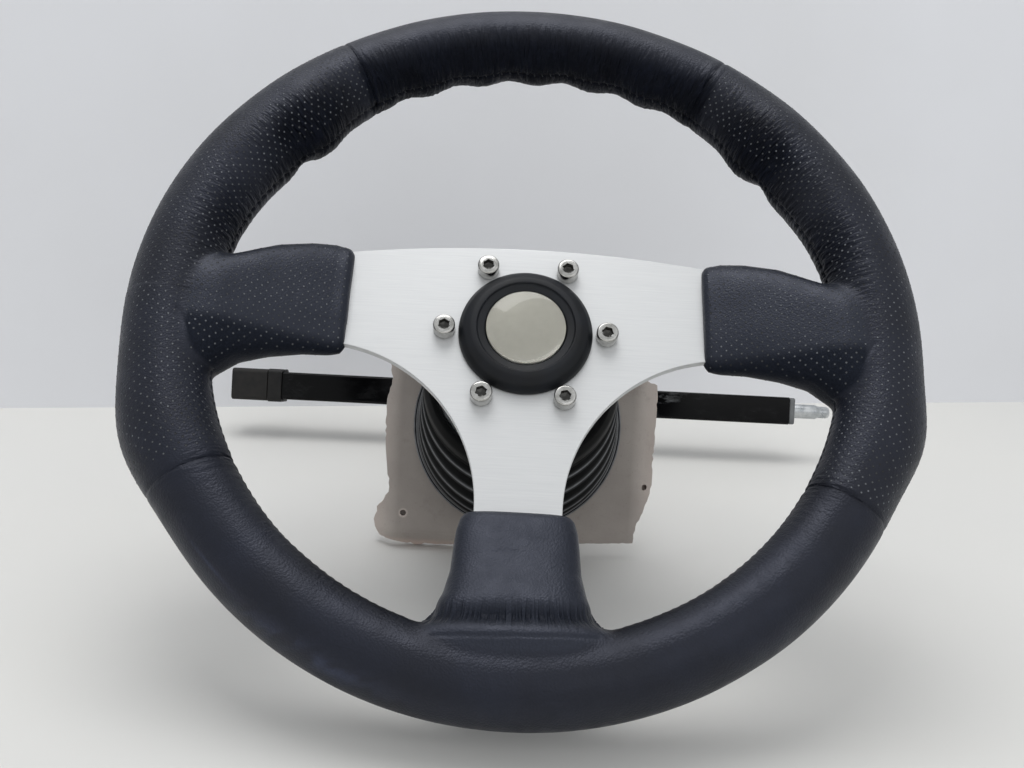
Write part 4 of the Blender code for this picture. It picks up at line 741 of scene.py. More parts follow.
def rim_terms(points):
    """Angle round the rim, angle round the tube and height above the tube's own surface."""
    angle = np.degrees(np.arctan2(points[:, 1], points[:, 0]))
    out = np.hypot(points[:, 0], points[:, 1]) - RIM_RADIUS
    up = points[:, 2] - RIM_RISE
    around = np.arctan2(up, out)
    return angle, around, np.hypot(out, up) - grip_thickness(angle, around)


def line_distance(points, start, end):
    """Distance in the wheel's plane from a line between two places."""
    start, end = np.array(start), np.array(end)
    run = end - start
    share = np.clip(((points[:, :2] - start) @ run) / (run @ run), 0.0, 1.0)
    return np.hypot(*(points[:, :2] - start - share[:, None] * run).T)


# Short seams where a sleeve's leather meets the rim's, in the wheel's plane
SLEEVE_SEAMS = {"left": ((-0.1486, -0.0102), (-0.1382, -0.0281)),
                "right": ((0.1486, -0.0102), (0.1382, -0.0281)),
                "foot": ((-0.0320, -0.1412), (0.0320, -0.1392))}

# How far each feature moves the leather in or out
SWELL_DEPTH = 0.35 * MM
FOLD_DEPTH = 0.75 * MM
FINE_FOLD_DEPTH = 0.25 * MM
THUMB_BULGE = 2.4 * MM
THUMB_HOLLOW = 3.0 * MM
STITCH_GROOVE = 0.55 * MM
PUCKER_DEPTH = 0.40 * MM
SEAM_GROOVE = 0.30 * MM
SLEEVE_SEAM_GROOVE = 0.35 * MM
FOOT_VALLEY = 2.6 * MM
FOOT_VALLEY_LINE = ((-0.034, -0.1315), (0.034, -0.1300))


def groove(distance, width):
    """The section of a rounded groove of depth one."""
    return np.exp(-(distance / width) ** 2)


def creased(points, normals, start, end, kind):
    """Heights that creases, puckers and seams add to the leather, how strong the creases are,
    where the sleeve is, how dull the leather is, which is partly painted shade in the creases
    and on the side sleeves' lower flanks, and where each point lies on the hide."""
    angle, around, above = rim_terms(points)
    along = np.radians(angle) * RIM_RADIUS
    girth = around * GRIP_RADIUS
    inward = (1 - np.cos(around)) / 2
    from_seam = np.minimum(np.abs((angle - start + 180) % 360 - 180),
                           np.abs((angle - end + 180) % 360 - 180)) * math.radians(RIM_RADIUS)
    thumbs = np.maximum(bump(angle, 41, 12), bump(angle, 139, 12))
    corners = np.maximum(bump(angle, 16, 9), bump(angle, 164, 9))
    top = ramp(np.abs(angle - 90), 36, 33)
    strength = 0.01 + ramp(inward, 0.45, 0.85) * (0.05 + 0.7 * top)
    strength += 0.85 * ramp(inward, 0.42, 0.85) * np.maximum(thumbs, 0.7 * corners)
    strength += 0.45 * np.exp(-from_seam / (4 * MM)) * (0.3 + 0.7 * inward)
    strength = np.clip(strength, 0.0, 1.0)
    sleeve = ramp(above, 0.4 * MM, 2.0 * MM)
    strength = strength * (1 - sleeve)
    folds = waves(along / (2.7 * MM), girth / (16 * MM) + 40)
    fine = waves(along / (1.7 * MM) + 90, girth / (10 * MM))
    swell = waves(along / (23 * MM) + 7, girth / (19 * MM) + 3)
    height = SWELL_DEPTH * (swell - 0.5)
    height -= strength * (FOLD_DEPTH * np.abs(folds - 0.5) ** 0.7 + FINE_FOLD_DEPTH * fine)
    behind = bump(np.degrees(np.abs(around)), 146, 28)
    for rest, side in ((136.5, 1), (43.5, -1)):
        height += THUMB_BULGE * bump(angle, rest, 4.0) * inward ** 2
        height -= THUMB_HOLLOW * bump(angle, rest + side * 6.5, 2.8) * behind
    across_inner = (np.pi - np.abs(around)) * GRIP_RADIUS
    pucker = 0.5 + 0.5 * np.cos(2 * math.pi * along / STITCH_PITCH)
    on_rim = 1 - sleeve
    height -= on_rim * STITCH_GROOVE * groove(across_inner, 0.7 * MM)
    height -= on_rim * PUCKER_DEPTH * pucker * groove(across_inner, 3.2 * MM)
    height -= SEAM_GROOVE * groove(from_seam, 0.9 * MM)
    if kind:
        seam = line_distance(points, *SLEEVE_SEAMS[kind])
        front = normals[:, 2] > -0.2
        height -= SLEEVE_SEAM_GROOVE * groove(seam, 0.7 * MM) * front
        if kind == "foot":
            valley = line_distance(points, *FOOT_VALLEY_LINE)
            height -= FOOT_VALLEY * groove(valley, 4.5 * MM) * front
            # The valley takes crease strength too, which paints it darker and duller: painted shade
            # in the valley.
            strength = np.maximum(strength, 0.7 * groove(valley, 4 * MM) * front)
    # The side sleeves' lower flanks are dulled: a painted shade.
    flank_shade = ramp(-points[:, 1], 6 * MM, 15 * MM) * sleeve * (kind in ("left", "right"))
    dull = np.maximum(strength, 0.8 * flank_shade)
    lie = np.stack([along, girth, np.zeros_like(along)], axis=-1)
    return height, strength, sleeve, dull, lie


def scuffs(points, angle, around):
    """Where use has rubbed the leather grey-blue: a patch and a scratch, low on the left."""
    low_left = bump(angle, 243, 9) * groove(around - 0.7, 0.24)
    patch = waves(points[:, 0] / (6 * MM) + 50, points[:, 1] / (2 * MM) + 50)
    scratch = bump(angle, 225, 4) * groove(around - 0.87, 0.04)
    return np.clip(low_left * ramp(patch, 0.15, 0.7) + 0.8 * scratch, 0.0, 1.0)


def read_array(items, field, width, kind=float):
    """One field of a mesh's items as an array with a row for each."""
    values = np.empty(len(items) * width, dtype=kind)
    items.foreach_get(field, values)
    return values.reshape(-1, width)


def grip_skin(name, start, end, kind):
    """One length of rim with its sleeve, as a single creased skin of leather."""
    work = bmesh.new()
    count = int((end - start) / GRIP_STEP)
    overlap = math.degrees(SEAM_OVERLAP / RIM_RADIUS)
    turns = 2 * math.pi * np.arange(GRIP_SIDES) / GRIP_SIDES
    angles = np.linspace(start - overlap, end + overlap, count + 1)
    lattice_mesh(work, [grip_points(np.full_like(turns, a), turns) for a in angles])
    if kind:
        lattice_mesh(work, sleeve_rings(kind))
    skin = placed(name, mesh_of(name, work))
    voxels = skin.modifiers.new("one_skin", "REMESH")
    voxels.mode = "VOXEL"
    voxels.voxel_size = SKIN_VOXEL
    mesh = settled(skin)
    points = read_array(mesh.vertices, "co", 3)
    edges = read_array(mesh.edges, "vertices", 2, np.int32)
    points = smoothed(points, edges, np.ones(len(points)), 5)
    if kind:
        above = rim_terms(points)[2]
        beside = {"left": 180, "right": 0, "foot": 270}[kind]
        near = ramp(bump(rim_terms(points)[0], beside, 24), 0.2, 0.6)
        joint = near * ramp(above, -1.0 * MM, 0.8 * MM) * (1 - ramp(above, 3 * MM, 14 * MM))
        points = smoothed(points, edges, joint, 50)
    mesh.vertices.foreach_set("co", points.ravel())
    mesh.update()
    normals = read_array(mesh.vertices, "normal", 3)
    height, strength, sleeve, dull, lie = creased(points, normals, start, end, kind)
    points = points + normals * height[:, None]
    mesh.vertices.foreach_set("co", points.ravel())
    angle, around, _ = rim_terms(points)
    for label, values in (("wrinkle", strength), ("sleeve", sleeve), ("dull", dull),
                          ("scuff", scuffs(points, angle, around))):
        mesh.attributes.new(label, "FLOAT", "POINT").data.foreach_set("value", values)
    mesh.attributes.new("lie", "FLOAT_VECTOR", "POINT").data.foreach_set("vector", lie.ravel())
    mesh.update()
    return mesh


def crater():
    """One punched hole: a low rim of leather round a pit with a grey floor."""
    sides = 6
    profile = ((0.62, -0.06, 0.0), (0.46, 0.07, 0.0), (0.36, 0.02, 0.7))
    work = bmesh.new()
    pit = work.verts.layers.float.new("pit")
    rings = []
    for radius, height, share in profile:
        ring = []
        for x, y in circle(radius * MM, sides):
            vertex = work.verts.new((x, y, height * MM))
            vertex[pit] = share
            ring.append(vertex)
        rings.append(ring)
    middle = work.verts.new((0, 0, 0.05 * MM))
    middle[pit] = 1.0
    join_rings(work, [*rings, [middle]])
    return mesh_of("punched_hole", work, turn_out=False)


def perforation_spots(tree, start, end, kind):
    """Where the holes of one side grip are: a diamond lattice on rim and sleeve."""
    spots = []
    side, beside = (1, 0) if kind == "right" else (-1, 180)
    step = math.degrees(PERFORATION_PITCH / RIM_RADIUS)
    margin = math.degrees(3 * MM / RIM_RADIUS)
    girth_step = PERFORATION_PITCH / GRIP_RADIUS
    rows = int((end - start - 2 * margin) / step)
    columns = int(2 * (math.pi - STITCH_CLEAR) / girth_step)
    for row in range(rows):
        for column in range(row % 2, columns, 2):
            angle = start + margin + row * step
            around = -math.pi + STITCH_CLEAR + column * girth_step
            place = grip_points(np.array([angle]), np.array([around]))[0]
            found, normal, _, distance = tree.find_nearest(Vector(place))
            if distance > 3.5 * MM or not clear_of_seams(found, kind):
                continue
            if rim_terms(np.array([found]))[2][0] > 0.35 * MM and bump(angle, beside, 24) > 0.3:
                continue
            swing = math.radians(angle)
            spots.append((found, normal, (-math.sin(swing), math.cos(swing), 0)))
    first, last = SIDE_SLEEVE[0][0] + 2.5 * MM, SIDE_SLEEVE[-1][0]
    low, high = SLEEVE_HOLES
    for row in range(int((last - first) / PERFORATION_PITCH)):
        for column in range(row % 2, int((high - low) / PERFORATION_PITCH), 2):
            x = side * (first + row * PERFORATION_PITCH)
            y = low + column * PERFORATION_PITCH
            for top, down in ((0.06, -1), (-0.06, 1)):
                found, normal, _, _ = tree.ray_cast(Vector((x, y, top)), Vector((0, 0, down)))
                if found is None or abs(normal.z) < 0.3 or not clear_of_seams(found, kind):
                    continue
                if rim_terms(np.array([found]))[2][0] < 1.1 * MM:
                    continue
                spots.append((found, normal, (1, 0, 0)))
    return spots


def clear_of_seams(place, kind):
    """Whether a hole at a place would miss the short seam of the sleeve."""
    return line_distance(np.array([place]), *SLEEVE_SEAMS[kind])[0] > 1.4 * MM


def stitch():
    """One stitch: a short bar with rounded ends that dips into the leather."""
    work = bmesh.new()
    half, thick = 1.3 * MM, 0.32 * MM
    rings = []
    for share in (-1.0, -0.55, 0.0, 0.55, 1.0):
        lift = 0.25 * MM * (1 - share ** 2) - 0.15 * MM
        size = thick * (1 - 0.45 * abs(share))
        rings.append([(share * half, y, z + lift) for y, z in circle(size, 6)])
    lattice_mesh(work, rings)
    return mesh_of("stitch", work)


def stitch_spots(tree, start, end):
    """Stitches across the seam that runs along the rim's inner side."""
    count = int(math.radians(end - start) * RIM_RADIUS / STITCH_PITCH)
    spots = []
    for index in range(1, count):
        angle = start + (end - start) * index / count
        place = Vector(grip_points(np.array([angle]), np.array([math.pi]))[0])
        found, _, _, distance = tree.find_nearest(place)
        if distance > 2.0 * MM:
            continue
        swing = math.radians(angle)
        spots.append((found, (-math.cos(swing), -math.sin(swing), 0),
                      (-0.35 * math.sin(swing), 0.35 * math.cos(swing), 1)))
    return spots


def leather_wheel():
    """The four grips, the holes of the side grips and the stitches of all of them."""
    right_low, left_high, left_low, foot_high = SEAM_ANGLES
    lengths = (("grip_top", right_low, left_high, None),
               ("grip_left", left_high, left_low, "left"),
               ("grip_bottom", left_low, foot_high, "foot"),
               ("grip_right", foot_high, right_low + 360, "right"))
    stitches = []
    for name, start, end, kind in lengths:
        mesh = grip_skin(name + "_leather", start, end, kind)
        tree = BVHTree.FromPolygons([v.co for v in mesh.vertices],
                                    [p.vertices for p in mesh.polygons])
        stitches += stitch_spots(tree, start, end)
        if kind in ("left", "right"):
            holes = copies(name + "_holes", perforation_spots(tree, start, end, kind), crater(),
                           HOLES, 0.9, 1.1)
            holes.transform(WHEEL)
            finished(name + "_perforations", holes, "wheel", [], [HOLES], 60)
        mesh.transform(WHEEL)
        finished(name + "_leather", mesh, "wheel", [name], [LEATHER], 80)
    thread = copies("stitches", stitches, stitch(), THREAD)
    thread.transform(WHEEL)
    finished("rim_stitches", thread, "wheel", [], [THREAD], 60)


# Spider, screws and centre cap

def spider_outline():
    """Outline of the three-spoke plate."""
    sag = PLATE_TOP - PLATE_TOP_AT_SLEEVE
    top_radius = (SPOKE_REACH ** 2 + sag ** 2) / (2 * sag)
    half_sweep = math.asin(SPOKE_REACH / top_radius)
    top = arc(top_radius, math.pi / 2, math.pi / 2 - half_sweep, 24, (0.0, PLATE_TOP - top_radius))
    tip_angle = math.asin(SPOKE_TIP_HALF / SPIDER_REACH)
    tip = arc(SPIDER_REACH, tip_angle, -tip_angle, 4)
    bite = arc(CUTOUT_RADIUS, math.radians(96), math.radians(180), 48, CUTOUT_CENTRE)
    foot_angle = math.asin(FOOT_TIP_HALF / SPIDER_REACH)
    foot = arc(SPIDER_REACH, -math.pi / 2 + foot_angle, -math.pi / 2, 2)
    right = top + tip + bite + foot
    return right + [(-x, y) for x, y in reversed(right[1:-1])]


def spider():
    """The brushed plate, with a fine bevel round it and its spokes bent up to the rim."""
    holes = [circle(HUB_HOLE, 64)]
    holes += [circle(0.0032, 24, place) for place in circle(SCREW_CIRCLE, 6)]
    work = flat_mesh("spider", [spider_outline(), *holes], -PLATE, 0.0, 0.35 * MM)
    for distance in np.linspace(SPOKE_BEND_START - 4 * MM, SPOKE_BEND_END, 14):
        for place, direction in (((distance, 0, 0), (1, 0, 0)), ((-distance, 0, 0), (-1, 0, 0)),
                                 ((0, -distance, 0), (0, -1, 0))):
            cut_across(work, place, direction)
    slope = (RIM_RISE + PLATE / 2) / (SPOKE_BEND_END - SPOKE_BEND_START)
    soft = 4 * MM
    for vertex in work.verts:
        past = max(abs(vertex.co.x), -vertex.co.y) - SPOKE_BEND_START
        if past > -soft:
            eased = (past + soft) ** 2 / (4 * soft) if past < soft else past
            vertex.co.z += slope * min(eased, SPOKE_BEND_END - SPOKE_BEND_START)
    for face in work.faces:
        face.material_index = 0 if abs(face.normal.z) > 0.5 else 1
    mesh = mesh_of("spider_plate", work, WHEEL, turn_out=False)
    true_faces(finished("spider_plate", mesh, "wheel", ["spider"], [BRUSHED, MILLED],
                        35))


def socket_screw(shank, length, head, height, socket, floor):
    """A polished socket head screw whose seat is at zero and whose head points up."""
    bevel = height / 9
    outside = soften([(0, -length), (shank, -length), (shank, 0), (head, 0), (head, height - bevel),
                      (head - bevel, height), (socket * 0.98, height)], 0.25 * MM, 2, closed=False)
    work = bmesh.new()
    steps = 36
    # The floor of the hex socket and its bottom point are painted near black.
    dark_patches = work.verts.layers.float.new("dark_patches")
    rings = turned_rings(work, outside, steps)
    for depth, across in ((0.3 * MM, 0.92), (floor, 0.90), (floor + 0.6 * MM, 0.0)):
        if across == 0.0:
            rings.append([work.verts.new((0, 0, height - depth))])
            rings[-1][0][dark_patches] = 0.9
            continue
        ring = []
        for i in range(steps):
            turn = 2 * math.pi * i / steps
            flat = math.cos(math.pi / 6) / math.cos((turn + math.pi / 6) % (math.pi / 3)
                                                    - math.pi / 6)
            radius = socket * across * flat
            ring.append(work.verts.new((radius * math.cos(turn), radius * math.sin(turn),
                                        height - depth)))
            ring[-1][dark_patches] = 0.9 if depth == floor else 0.0
        rings.append(ring)
    join_rings(work, rings)
    return mesh_of("socket_screw", work)


def screw_set(name, nodes, places, body, matrix, screw):
    """Screws copied to their places, each tightened to a heading of its own."""
    spots = []
    for index, (x, y) in enumerate(places):
        heading = 0.31 * (3 * index + 1)
        spots.append(((x, y, GAP), (0, 0, 1), (math.cos(heading), math.sin(heading), 0)))
    mesh = copies(name, spots, screw, STAINLESS)
    mesh.transform(matrix)
    finished(name, mesh, body, nodes, [STAINLESS], 30)


def centre_cap():
    """The domed rubber cap, the bare badge in it and the clear dome on the badge."""
    height, floor = 0.0080, 0.0045
    profile = [(0, floor), (BADGE_RADIUS + GAP, floor), (BADGE_RADIUS + GAP, height - 1.5 * MM),
               (0.0219, height - 1.0 * MM), (0.0223, height), (0.0249, height - 0.3 * MM),
               (CAP_RADIUS - 2.5 * MM, height - 2.2 * MM), (CAP_RADIUS - 0.5 * MM, 3.0 * MM),
               (CAP_RADIUS, 0.8 * MM), (CAP_RADIUS - 0.4 * MM, GAP), (HUB_HOLE - GAP, GAP),
               (HUB_HOLE - GAP, -PLATE), (0, -PLATE)]
    cap = turned_mesh("cap", soften(profile, 0.9 * MM, 4, False), WHEEL, 128)
    finished("centre_cap_rubber", cap, "wheel", ["centre_cap"], [CAP_RUBBER], 50)
    base = floor + GAP
    top = base + 1.4 * MM
    badge = soften([(0, base), (BADGE_RADIUS, base), (BADGE_RADIUS, top), (0, top)],
                   0.3 * MM, 2, False)
    finished("badge_plate", turned_mesh("badge", badge, WHEEL, 96), "wheel", ["centre_badge"],
             [BADGE])
    foot = top + GAP
    rise = [(BADGE_RADIUS * math.cos(t), foot + 1.8 * MM * (0.25 + 0.75 * math.sin(t)))
            for t in np.linspace(0, math.pi / 2, 12)[:-1]]
    dome = [(0, foot), (BADGE_RADIUS, foot), *rise, (0, foot + 1.8 * MM)]
    finished("badge_lens", turned_mesh("dome", dome, WHEEL, 96), "wheel", ["badge_dome"],
             [DOME], 60)


# Boot

def boot_profile():
    """The boot's section as (radius, distance from the pivot, share of crest) points."""
    rim = GAP + 5.0 * MM
    outer = [(BOOT_RADIUS, GAP, 0.0), (BOOT_RADIUS, rim - 1.0 * MM, 0.5)]
    for bead in range(3):
        crest = BOOT_RADIUS - (0.4 + 1.1 * bead) * MM
        outer += [(crest, rim, 1.0), (crest - 0.35 * MM, rim, 0.9),
                  (crest - 0.55 * MM, rim - 0.9 * MM, 0.0),
                  (crest - 0.85 * MM, rim - 0.9 * MM, 0.0)]
    pitch = (PLEAT_END - PLEAT_START) / PLEATS
    inner = [(BOOT_RADIUS - 0.7 * MM, GAP, 0.0), (BOOT_RADIUS - 0.7 * MM, rim - 2 * MM, 0.0),
             (PLEAT_RADIUS - BOOT_WALL, rim - 2 * MM, 0.0)]
    for index in range(PLEATS):
        ridge = PLEAT_RADIUS - PLEAT_TAPER * index
        start = PLEAT_START + pitch * index
        for step in range(12):
            share = step / 12
            fold = 0.5 + 0.5 * math.cos(2 * math.pi * (share - 0.12))
            crest = fold ** 0.6
            outer.append((ridge - PLEAT_DEPTH * (1 - crest), start + share * pitch, fold ** 14))
        inner += [(ridge - BOOT_WALL, start + 0.12 * pitch, 0.0),
                  (ridge - PLEAT_DEPTH - BOOT_WALL, start + 0.60 * pitch, 0.0)]
    hold = COVER_RADIUS + GAP
    collar = [(COVER_RADIUS + 5.5 * MM, PLEAT_END + 1 * MM),
              (COVER_RADIUS + 6.8 * MM, PLEAT_END + 4 * MM),
              (COVER_RADIUS + 6.2 * MM, COVER_LIP - 2 * MM),
              (COVER_RADIUS + 3.5 * MM, COVER_LIP + 2 * MM),
              (COVER_RADIUS + 1.2 * MM, COVER_LIP + 1.8 * MM)]
    outer += [(radius, distance, 0.0) for radius, distance in soften(collar, 1.2 * MM, 4, False)]
    inner += [(hold, PLEAT_END + 4 * MM, 0.0), (hold, COVER_LIP, 0.1)]
    return outer + inner[::-1]


def boot():
    """The pleated rubber boot between the panel and the tilting head."""
    sides = 144
    profile = boot_profile()
    lean_full = WHEEL_RISE - PANEL_RISE
    rings = []
    crests = []
    for radius, distance, crest in profile:
        lean = lean_full * float(ramp(distance, PLEAT_START, PLEAT_END))
        forward = Vector((0, math.sin(lean), math.cos(lean)))
        upward = Vector((0, math.cos(lean), -math.sin(lean)))
        rings.append([Vector((radius * math.cos(t), 0, 0)) + upward * radius * math.sin(t)
                      + forward * distance for t in np.arange(sides) * 2 * math.pi / sides])
        crests += [crest] * sides
    work = bmesh.new()
    join_rings(work, [[work.verts.new(point) for point in ring] for ring in rings], True)
    mesh = mesh_of("boot_rubber", work, HELM)
    mesh.attributes.new("crest", "FLOAT", "POINT").data.foreach_set("value", crests)
    mesh.materials.append(BOOT_RUBBER)
    mesh.shade_smooth()
    piece = placed("boot_rubber", mesh)
    # The direction halfway between the panel's facing and the head's, seen from the pivot; nothing
    # uses it
    middle = facing_frame((PANEL_RISE + WHEEL_RISE) / 2).to_3x3() @ Vector((0, 0, 1))
    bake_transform(piece)
    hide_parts("boot")


# Dash panel

PANEL_EDGE = ((-0.0748, -0.0669), (-0.0549, -0.0706), (0.0684, -0.0633), (0.0684, -0.0582),
              (0.0750, -0.0424), (0.0783, -0.0332), (0.0785, -0.0242), (0.0789, -0.0096),
              (0.0795, 0.0191), (0.0788, 0.0261), (0.0714, 0.0293), (0.0690, 0.0430),
              (0.0620, 0.0570), (0.0400, 0.0625), (0.0000, 0.0640), (-0.0450, 0.0620),
              (-0.0680, 0.0570), (-0.0790, 0.0470), (-0.0784, 0.0366), (-0.0727, 0.0294),
              (-0.0714, 0.0212), (-0.0741, 0.0108), (-0.0744, -0.0049), (-0.0734, -0.0172),
              (-0.0715, -0.0316), (-0.0701, -0.0383), (-0.0731, -0.0457), (-0.0772, -0.0504),
              (-0.0788, -0.0578), (-0.0773, -0.0639))
LEFT_BEND = -0.068
RIGHT_BEND = 0.0685
LOWER_BEND = -0.0645
BEND_SLOPE = 0.9


def ragged(outline, step, depth):
    """An outline cut into short steps that waver inwards as a broken edge does."""
    made = []
    chips = np.random.default_rng(5)
    for (x0, y0), (x1, y1) in zip(outline, outline[1:] + outline[:1]):
        run = Vector((x1 - x0, y1 - y0))
        inward = Vector((-run.y, run.x)).normalized()
        count = max(1, int(run.length / step))
        for i in range(count):
            place = Vector((x0, y0)) + run * (i / count)
            place += inward * depth * (chips.random() ** 5)
            made.append(tuple(place))
    return made


def soft_past(value, ease):
    """How far a value is past zero, with the corner eased."""
    if value <= -ease:
        return 0.0
    return value if value >= ease else (value + ease) ** 2 / (4 * ease)


def dash_panel():
    """The broken piece of moulded dash, with torn fibreglass at its edges."""
    holes = [circle(PANEL_HOLE, 96)]
    holes += [circle(0.0032, 20, place) for place in circle(BOLT_CIRCLE, 4, start=math.pi / 4)]
    holes += [circle(0.0016, 16, place) for place in PANEL_SCREWS]
    edge = ragged(list(PANEL_EDGE), 2.0 * MM, 1.1 * MM)
    work = flat_mesh("dash", [edge, *holes], -PANEL_THICK, 0.0, 0.25 * MM)
    ease = 4 * MM
    for bend, axis in ((LEFT_BEND, 0), (RIGHT_BEND, 0), (LOWER_BEND, 1)):
        for offset in np.linspace(-ease, ease, 7):
            spot = [0.0, 0.0, 0.0]
            spot[axis] = bend + offset
            direction = [0.0, 0.0, 0.0]
            direction[axis] = 1.0
            cut_across(work, spot, direction)
    worn = work.verts.layers.float.new("worn")
    for face in work.faces:
        face.material_index = 0 if abs(face.normal.z) > 0.5 else 1
    # A near-black rubber disc 4 mm down each small screw hole is a painted shade in the hole.
    for place in PANEL_SCREWS:
        plug = [work.verts.new((x, y, -4 * MM)) for x, y in circle(1.65 * MM, 16, place)]
        work.faces.new(plug).material_index = 2
    for vertex in work.verts:
        x, y = vertex.co.x, vertex.co.y
        sides = soft_past(LEFT_BEND - x, ease) + soft_past(x - RIGHT_BEND, ease)
        below = soft_past(LOWER_BEND - y, ease)
        vertex[worn] = min(1.0, 0.85 * float(ramp(-y, 0.0655, 0.0700)) + 25.0 * sides)
        vertex.co.z -= BEND_SLOPE * (sides + below)
    mesh = mesh_of("dash_gelcoat", work, HELM, turn_out=False)
    true_faces(finished("dash_gelcoat", mesh, "root", ["dash_panel"],
                        [GELCOAT, FIBREGLASS, BOOT_RUBBER], 40))


# Rack tube

def rounded_square(half, corner, centre, steps=6):
    """Outline of a square with round corners, from half its width."""
    points = []
    for quarter in range(4):
        turn = quarter * math.pi / 2
        sign_x = 1 if quarter in (0, 3) else -1
        sign_y = 1 if quarter in (0, 1) else -1
        spot = (centre[0] + sign_x * (half - corner), centre[1] + sign_y * (half - corner))
        points += arc(corner, turn, turn + math.pi / 2, steps, spot)
    return points


# A side outline has Z to the right and Y up, and its thickness lies along X.
SIDE_VIEW = Matrix(((0, 0, -1, 0), (0, 1, 0, 0), (1, 0, 0, 0), (0, 0, 0, 1)))
TUBE_CENTRE = (TUBE_AXIS, TUBE_HEIGHT)


def along_tube(name, outlines, low, high, edge, finish, nodes):
    """A piece with one section along the rack tube, between two distances."""
    work = flat_mesh(name, outlines, -high, -low, edge)
    for offset in np.arange(low + TUBE_SLICE, high - 4 * MM, TUBE_SLICE):
        cut_across(work, (0, 0, -offset), (0, 0, 1))
    dirt = work.verts.layers.float.new("dirt")
    for vertex in work.verts:
        away = (-vertex.co.z - SPLASH_PLACE) / SPLASH_WIDTH
        vertex[dirt] = float(np.exp(-away ** 2)) * 0.95 + 0.02
    true_faces(finished(name, mesh_of(name, work, HELM @ SIDE_VIEW), "root", nodes, [finish],
                        40))


def rack_tube():
    """The enamelled tube, its end cap and collar, the outlet plug and the cable fitting."""
    outer = rounded_square(TUBE_SIZE / 2, 2.0 * MM, TUBE_CENTRE)
    inner = rounded_square(TUBE_SIZE / 2 - 1.5 * MM, 1.2 * MM, TUBE_CENTRE)
    along_tube("rack_tube_enamel", [outer, inner], -TUBE_HALF, TUBE_HALF, 0.2 * MM, ENAMEL,
               ["rack_tube"])
    cap = TUBE_SIZE / 2 + 1.5 * MM
    along_tube("tube_end_cap_nylon",
               [rounded_square(cap, 3.2 * MM, TUBE_CENTRE),
                rounded_square(TUBE_SIZE / 2 + 0.2 * MM, 2.1 * MM, TUBE_CENTRE)],
               -TUBE_HALF - 4.3 * MM, CAP_START, 0.6 * MM, SUNNED_NYLON,
               ["tube_end_cap"])
    along_tube("tube_end_cap_face", [rounded_square(cap - 0.05 * MM, 3.2 * MM, TUBE_CENTRE)],
               -TUBE_HALF - 5.3 * MM, -TUBE_HALF - GAP, 0.8 * MM, SUNNED_NYLON,
               [])
    along_tube("tube_collar_nylon",
               [rounded_square(cap + 0.5 * MM, 3.2 * MM, TUBE_CENTRE),
                rounded_square(TUBE_SIZE / 2 + 0.2 * MM, 2.1 * MM, TUBE_CENTRE)],
               CAP_START + GAP, CAP_START + 10.3 * MM, 0.6 * MM, NYLON,
               ["tube_collar"])
    along_tube("outlet_plug_abs",
               [rounded_square(TUBE_SIZE / 2 - 0.3 * MM, 2.0 * MM, TUBE_CENTRE),
                circle(5.5 * MM, 48, TUBE_CENTRE)],
               TUBE_HALF + GAP, TUBE_HALF + 4.3 * MM, 0.9 * MM, GREY_ABS,
               ["cable_outlet_plug"])
    start, end = TUBE_HALF + GAP, FITTING_END
    profile = [(2.2 * MM, start), (5.25 * MM, start), (5.25 * MM, end - 10 * MM),
               (4.3 * MM, end - 8 * MM), (4.3 * MM, end - 2 * MM), (3.5 * MM, end), (2.2 * MM, end)]
    lie = (HELM @ Matrix.Translation((0, TUBE_HEIGHT, TUBE_AXIS))
           @ Matrix.Rotation(math.pi / 2, 4, "Y"))
    finished("cable_fitting_zinc", turned_mesh("fitting", soften(profile, 0.4 * MM, 3), lie, 64),
             "root", ["cable_fitting"], [ZINC])


# Everything else keeps the shape of its solid: some as copies with eased edges, the rest with new
# finishes only

def eased(node, body, finish, slot):
    """A copy of a node's solid with its edges eased, which stands for it."""
    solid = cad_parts[node]
    work = bmesh.new()
    work.from_mesh(solid.data)
    bmesh.ops.remove_doubles(work, verts=work.verts, dist=0.005 * MM)
    bmesh.ops.dissolve_limit(work, angle_limit=math.radians(0.5), verts=work.verts,
                             edges=work.edges)
    mesh = mesh_of(node + "_eased", work, turn_out=False)
    piece = finished(node + "_eased", mesh, body, [node], [finish])
    edges = piece.modifiers.new("edges", "BEVEL")
    edges.width = 0.35 * MM
    edges.segments = 2
    edges.limit_method = "ANGLE"
    edges.angle_limit = math.radians(35)
    edges.use_clamp_overlap = True
    true_faces(piece)


EASED = (("hub_adapter", "wheel", CAST, "cast_alloy"),
         ("steering_shaft", "wheel", PLAIN_STEEL, "plain_steel"),
         ("shaft_nut", "wheel", STAINLESS, "stainless_steel"),
         ("tilt_head", "tilt_head", CAST, "cast_alloy"),
         ("head_cover", "tilt_head", GREY_ABS, "grey_plastic"),
         ("cover_ring", "tilt_head", PLAIN_STEEL, "plain_steel"),
         ("tilt_lever", "latch", NYLON, "black_plastic"),
         ("lever_knob", "latch", NYLON, "black_plastic"),
         ("latch_pawl", "latch", PLAIN_STEEL, "plain_steel"),
         ("pivot_pin_left", "root", PLAIN_STEEL, "plain_steel"),
         ("pivot_pin_right", "root", PLAIN_STEEL, "plain_steel"),
         ("tilt_bracket", "root", CAST, "cast_alloy"), ("helm_housing", "root", CAST, "cast_alloy"),
         ("rear_cover", "root", CAST, "cast_alloy"))
PLAIN = {"rim_core": MILLED, "shaft_washer": STAINLESS, "trunnion_pin": PLAIN_STEEL,
         "head_bearing_rear": PLAIN_STEEL, "head_bearing_front": PLAIN_STEEL,
         "drive_bush_front": BRONZE, "drive_bush_rear": BRONZE, "rear_bush": BRONZE,
         "drive_shaft": PLAIN_STEEL, "pinion": PLAIN_STEEL, "rack_bar": PLAIN_STEEL,
         "cable_stud": STAINLESS}


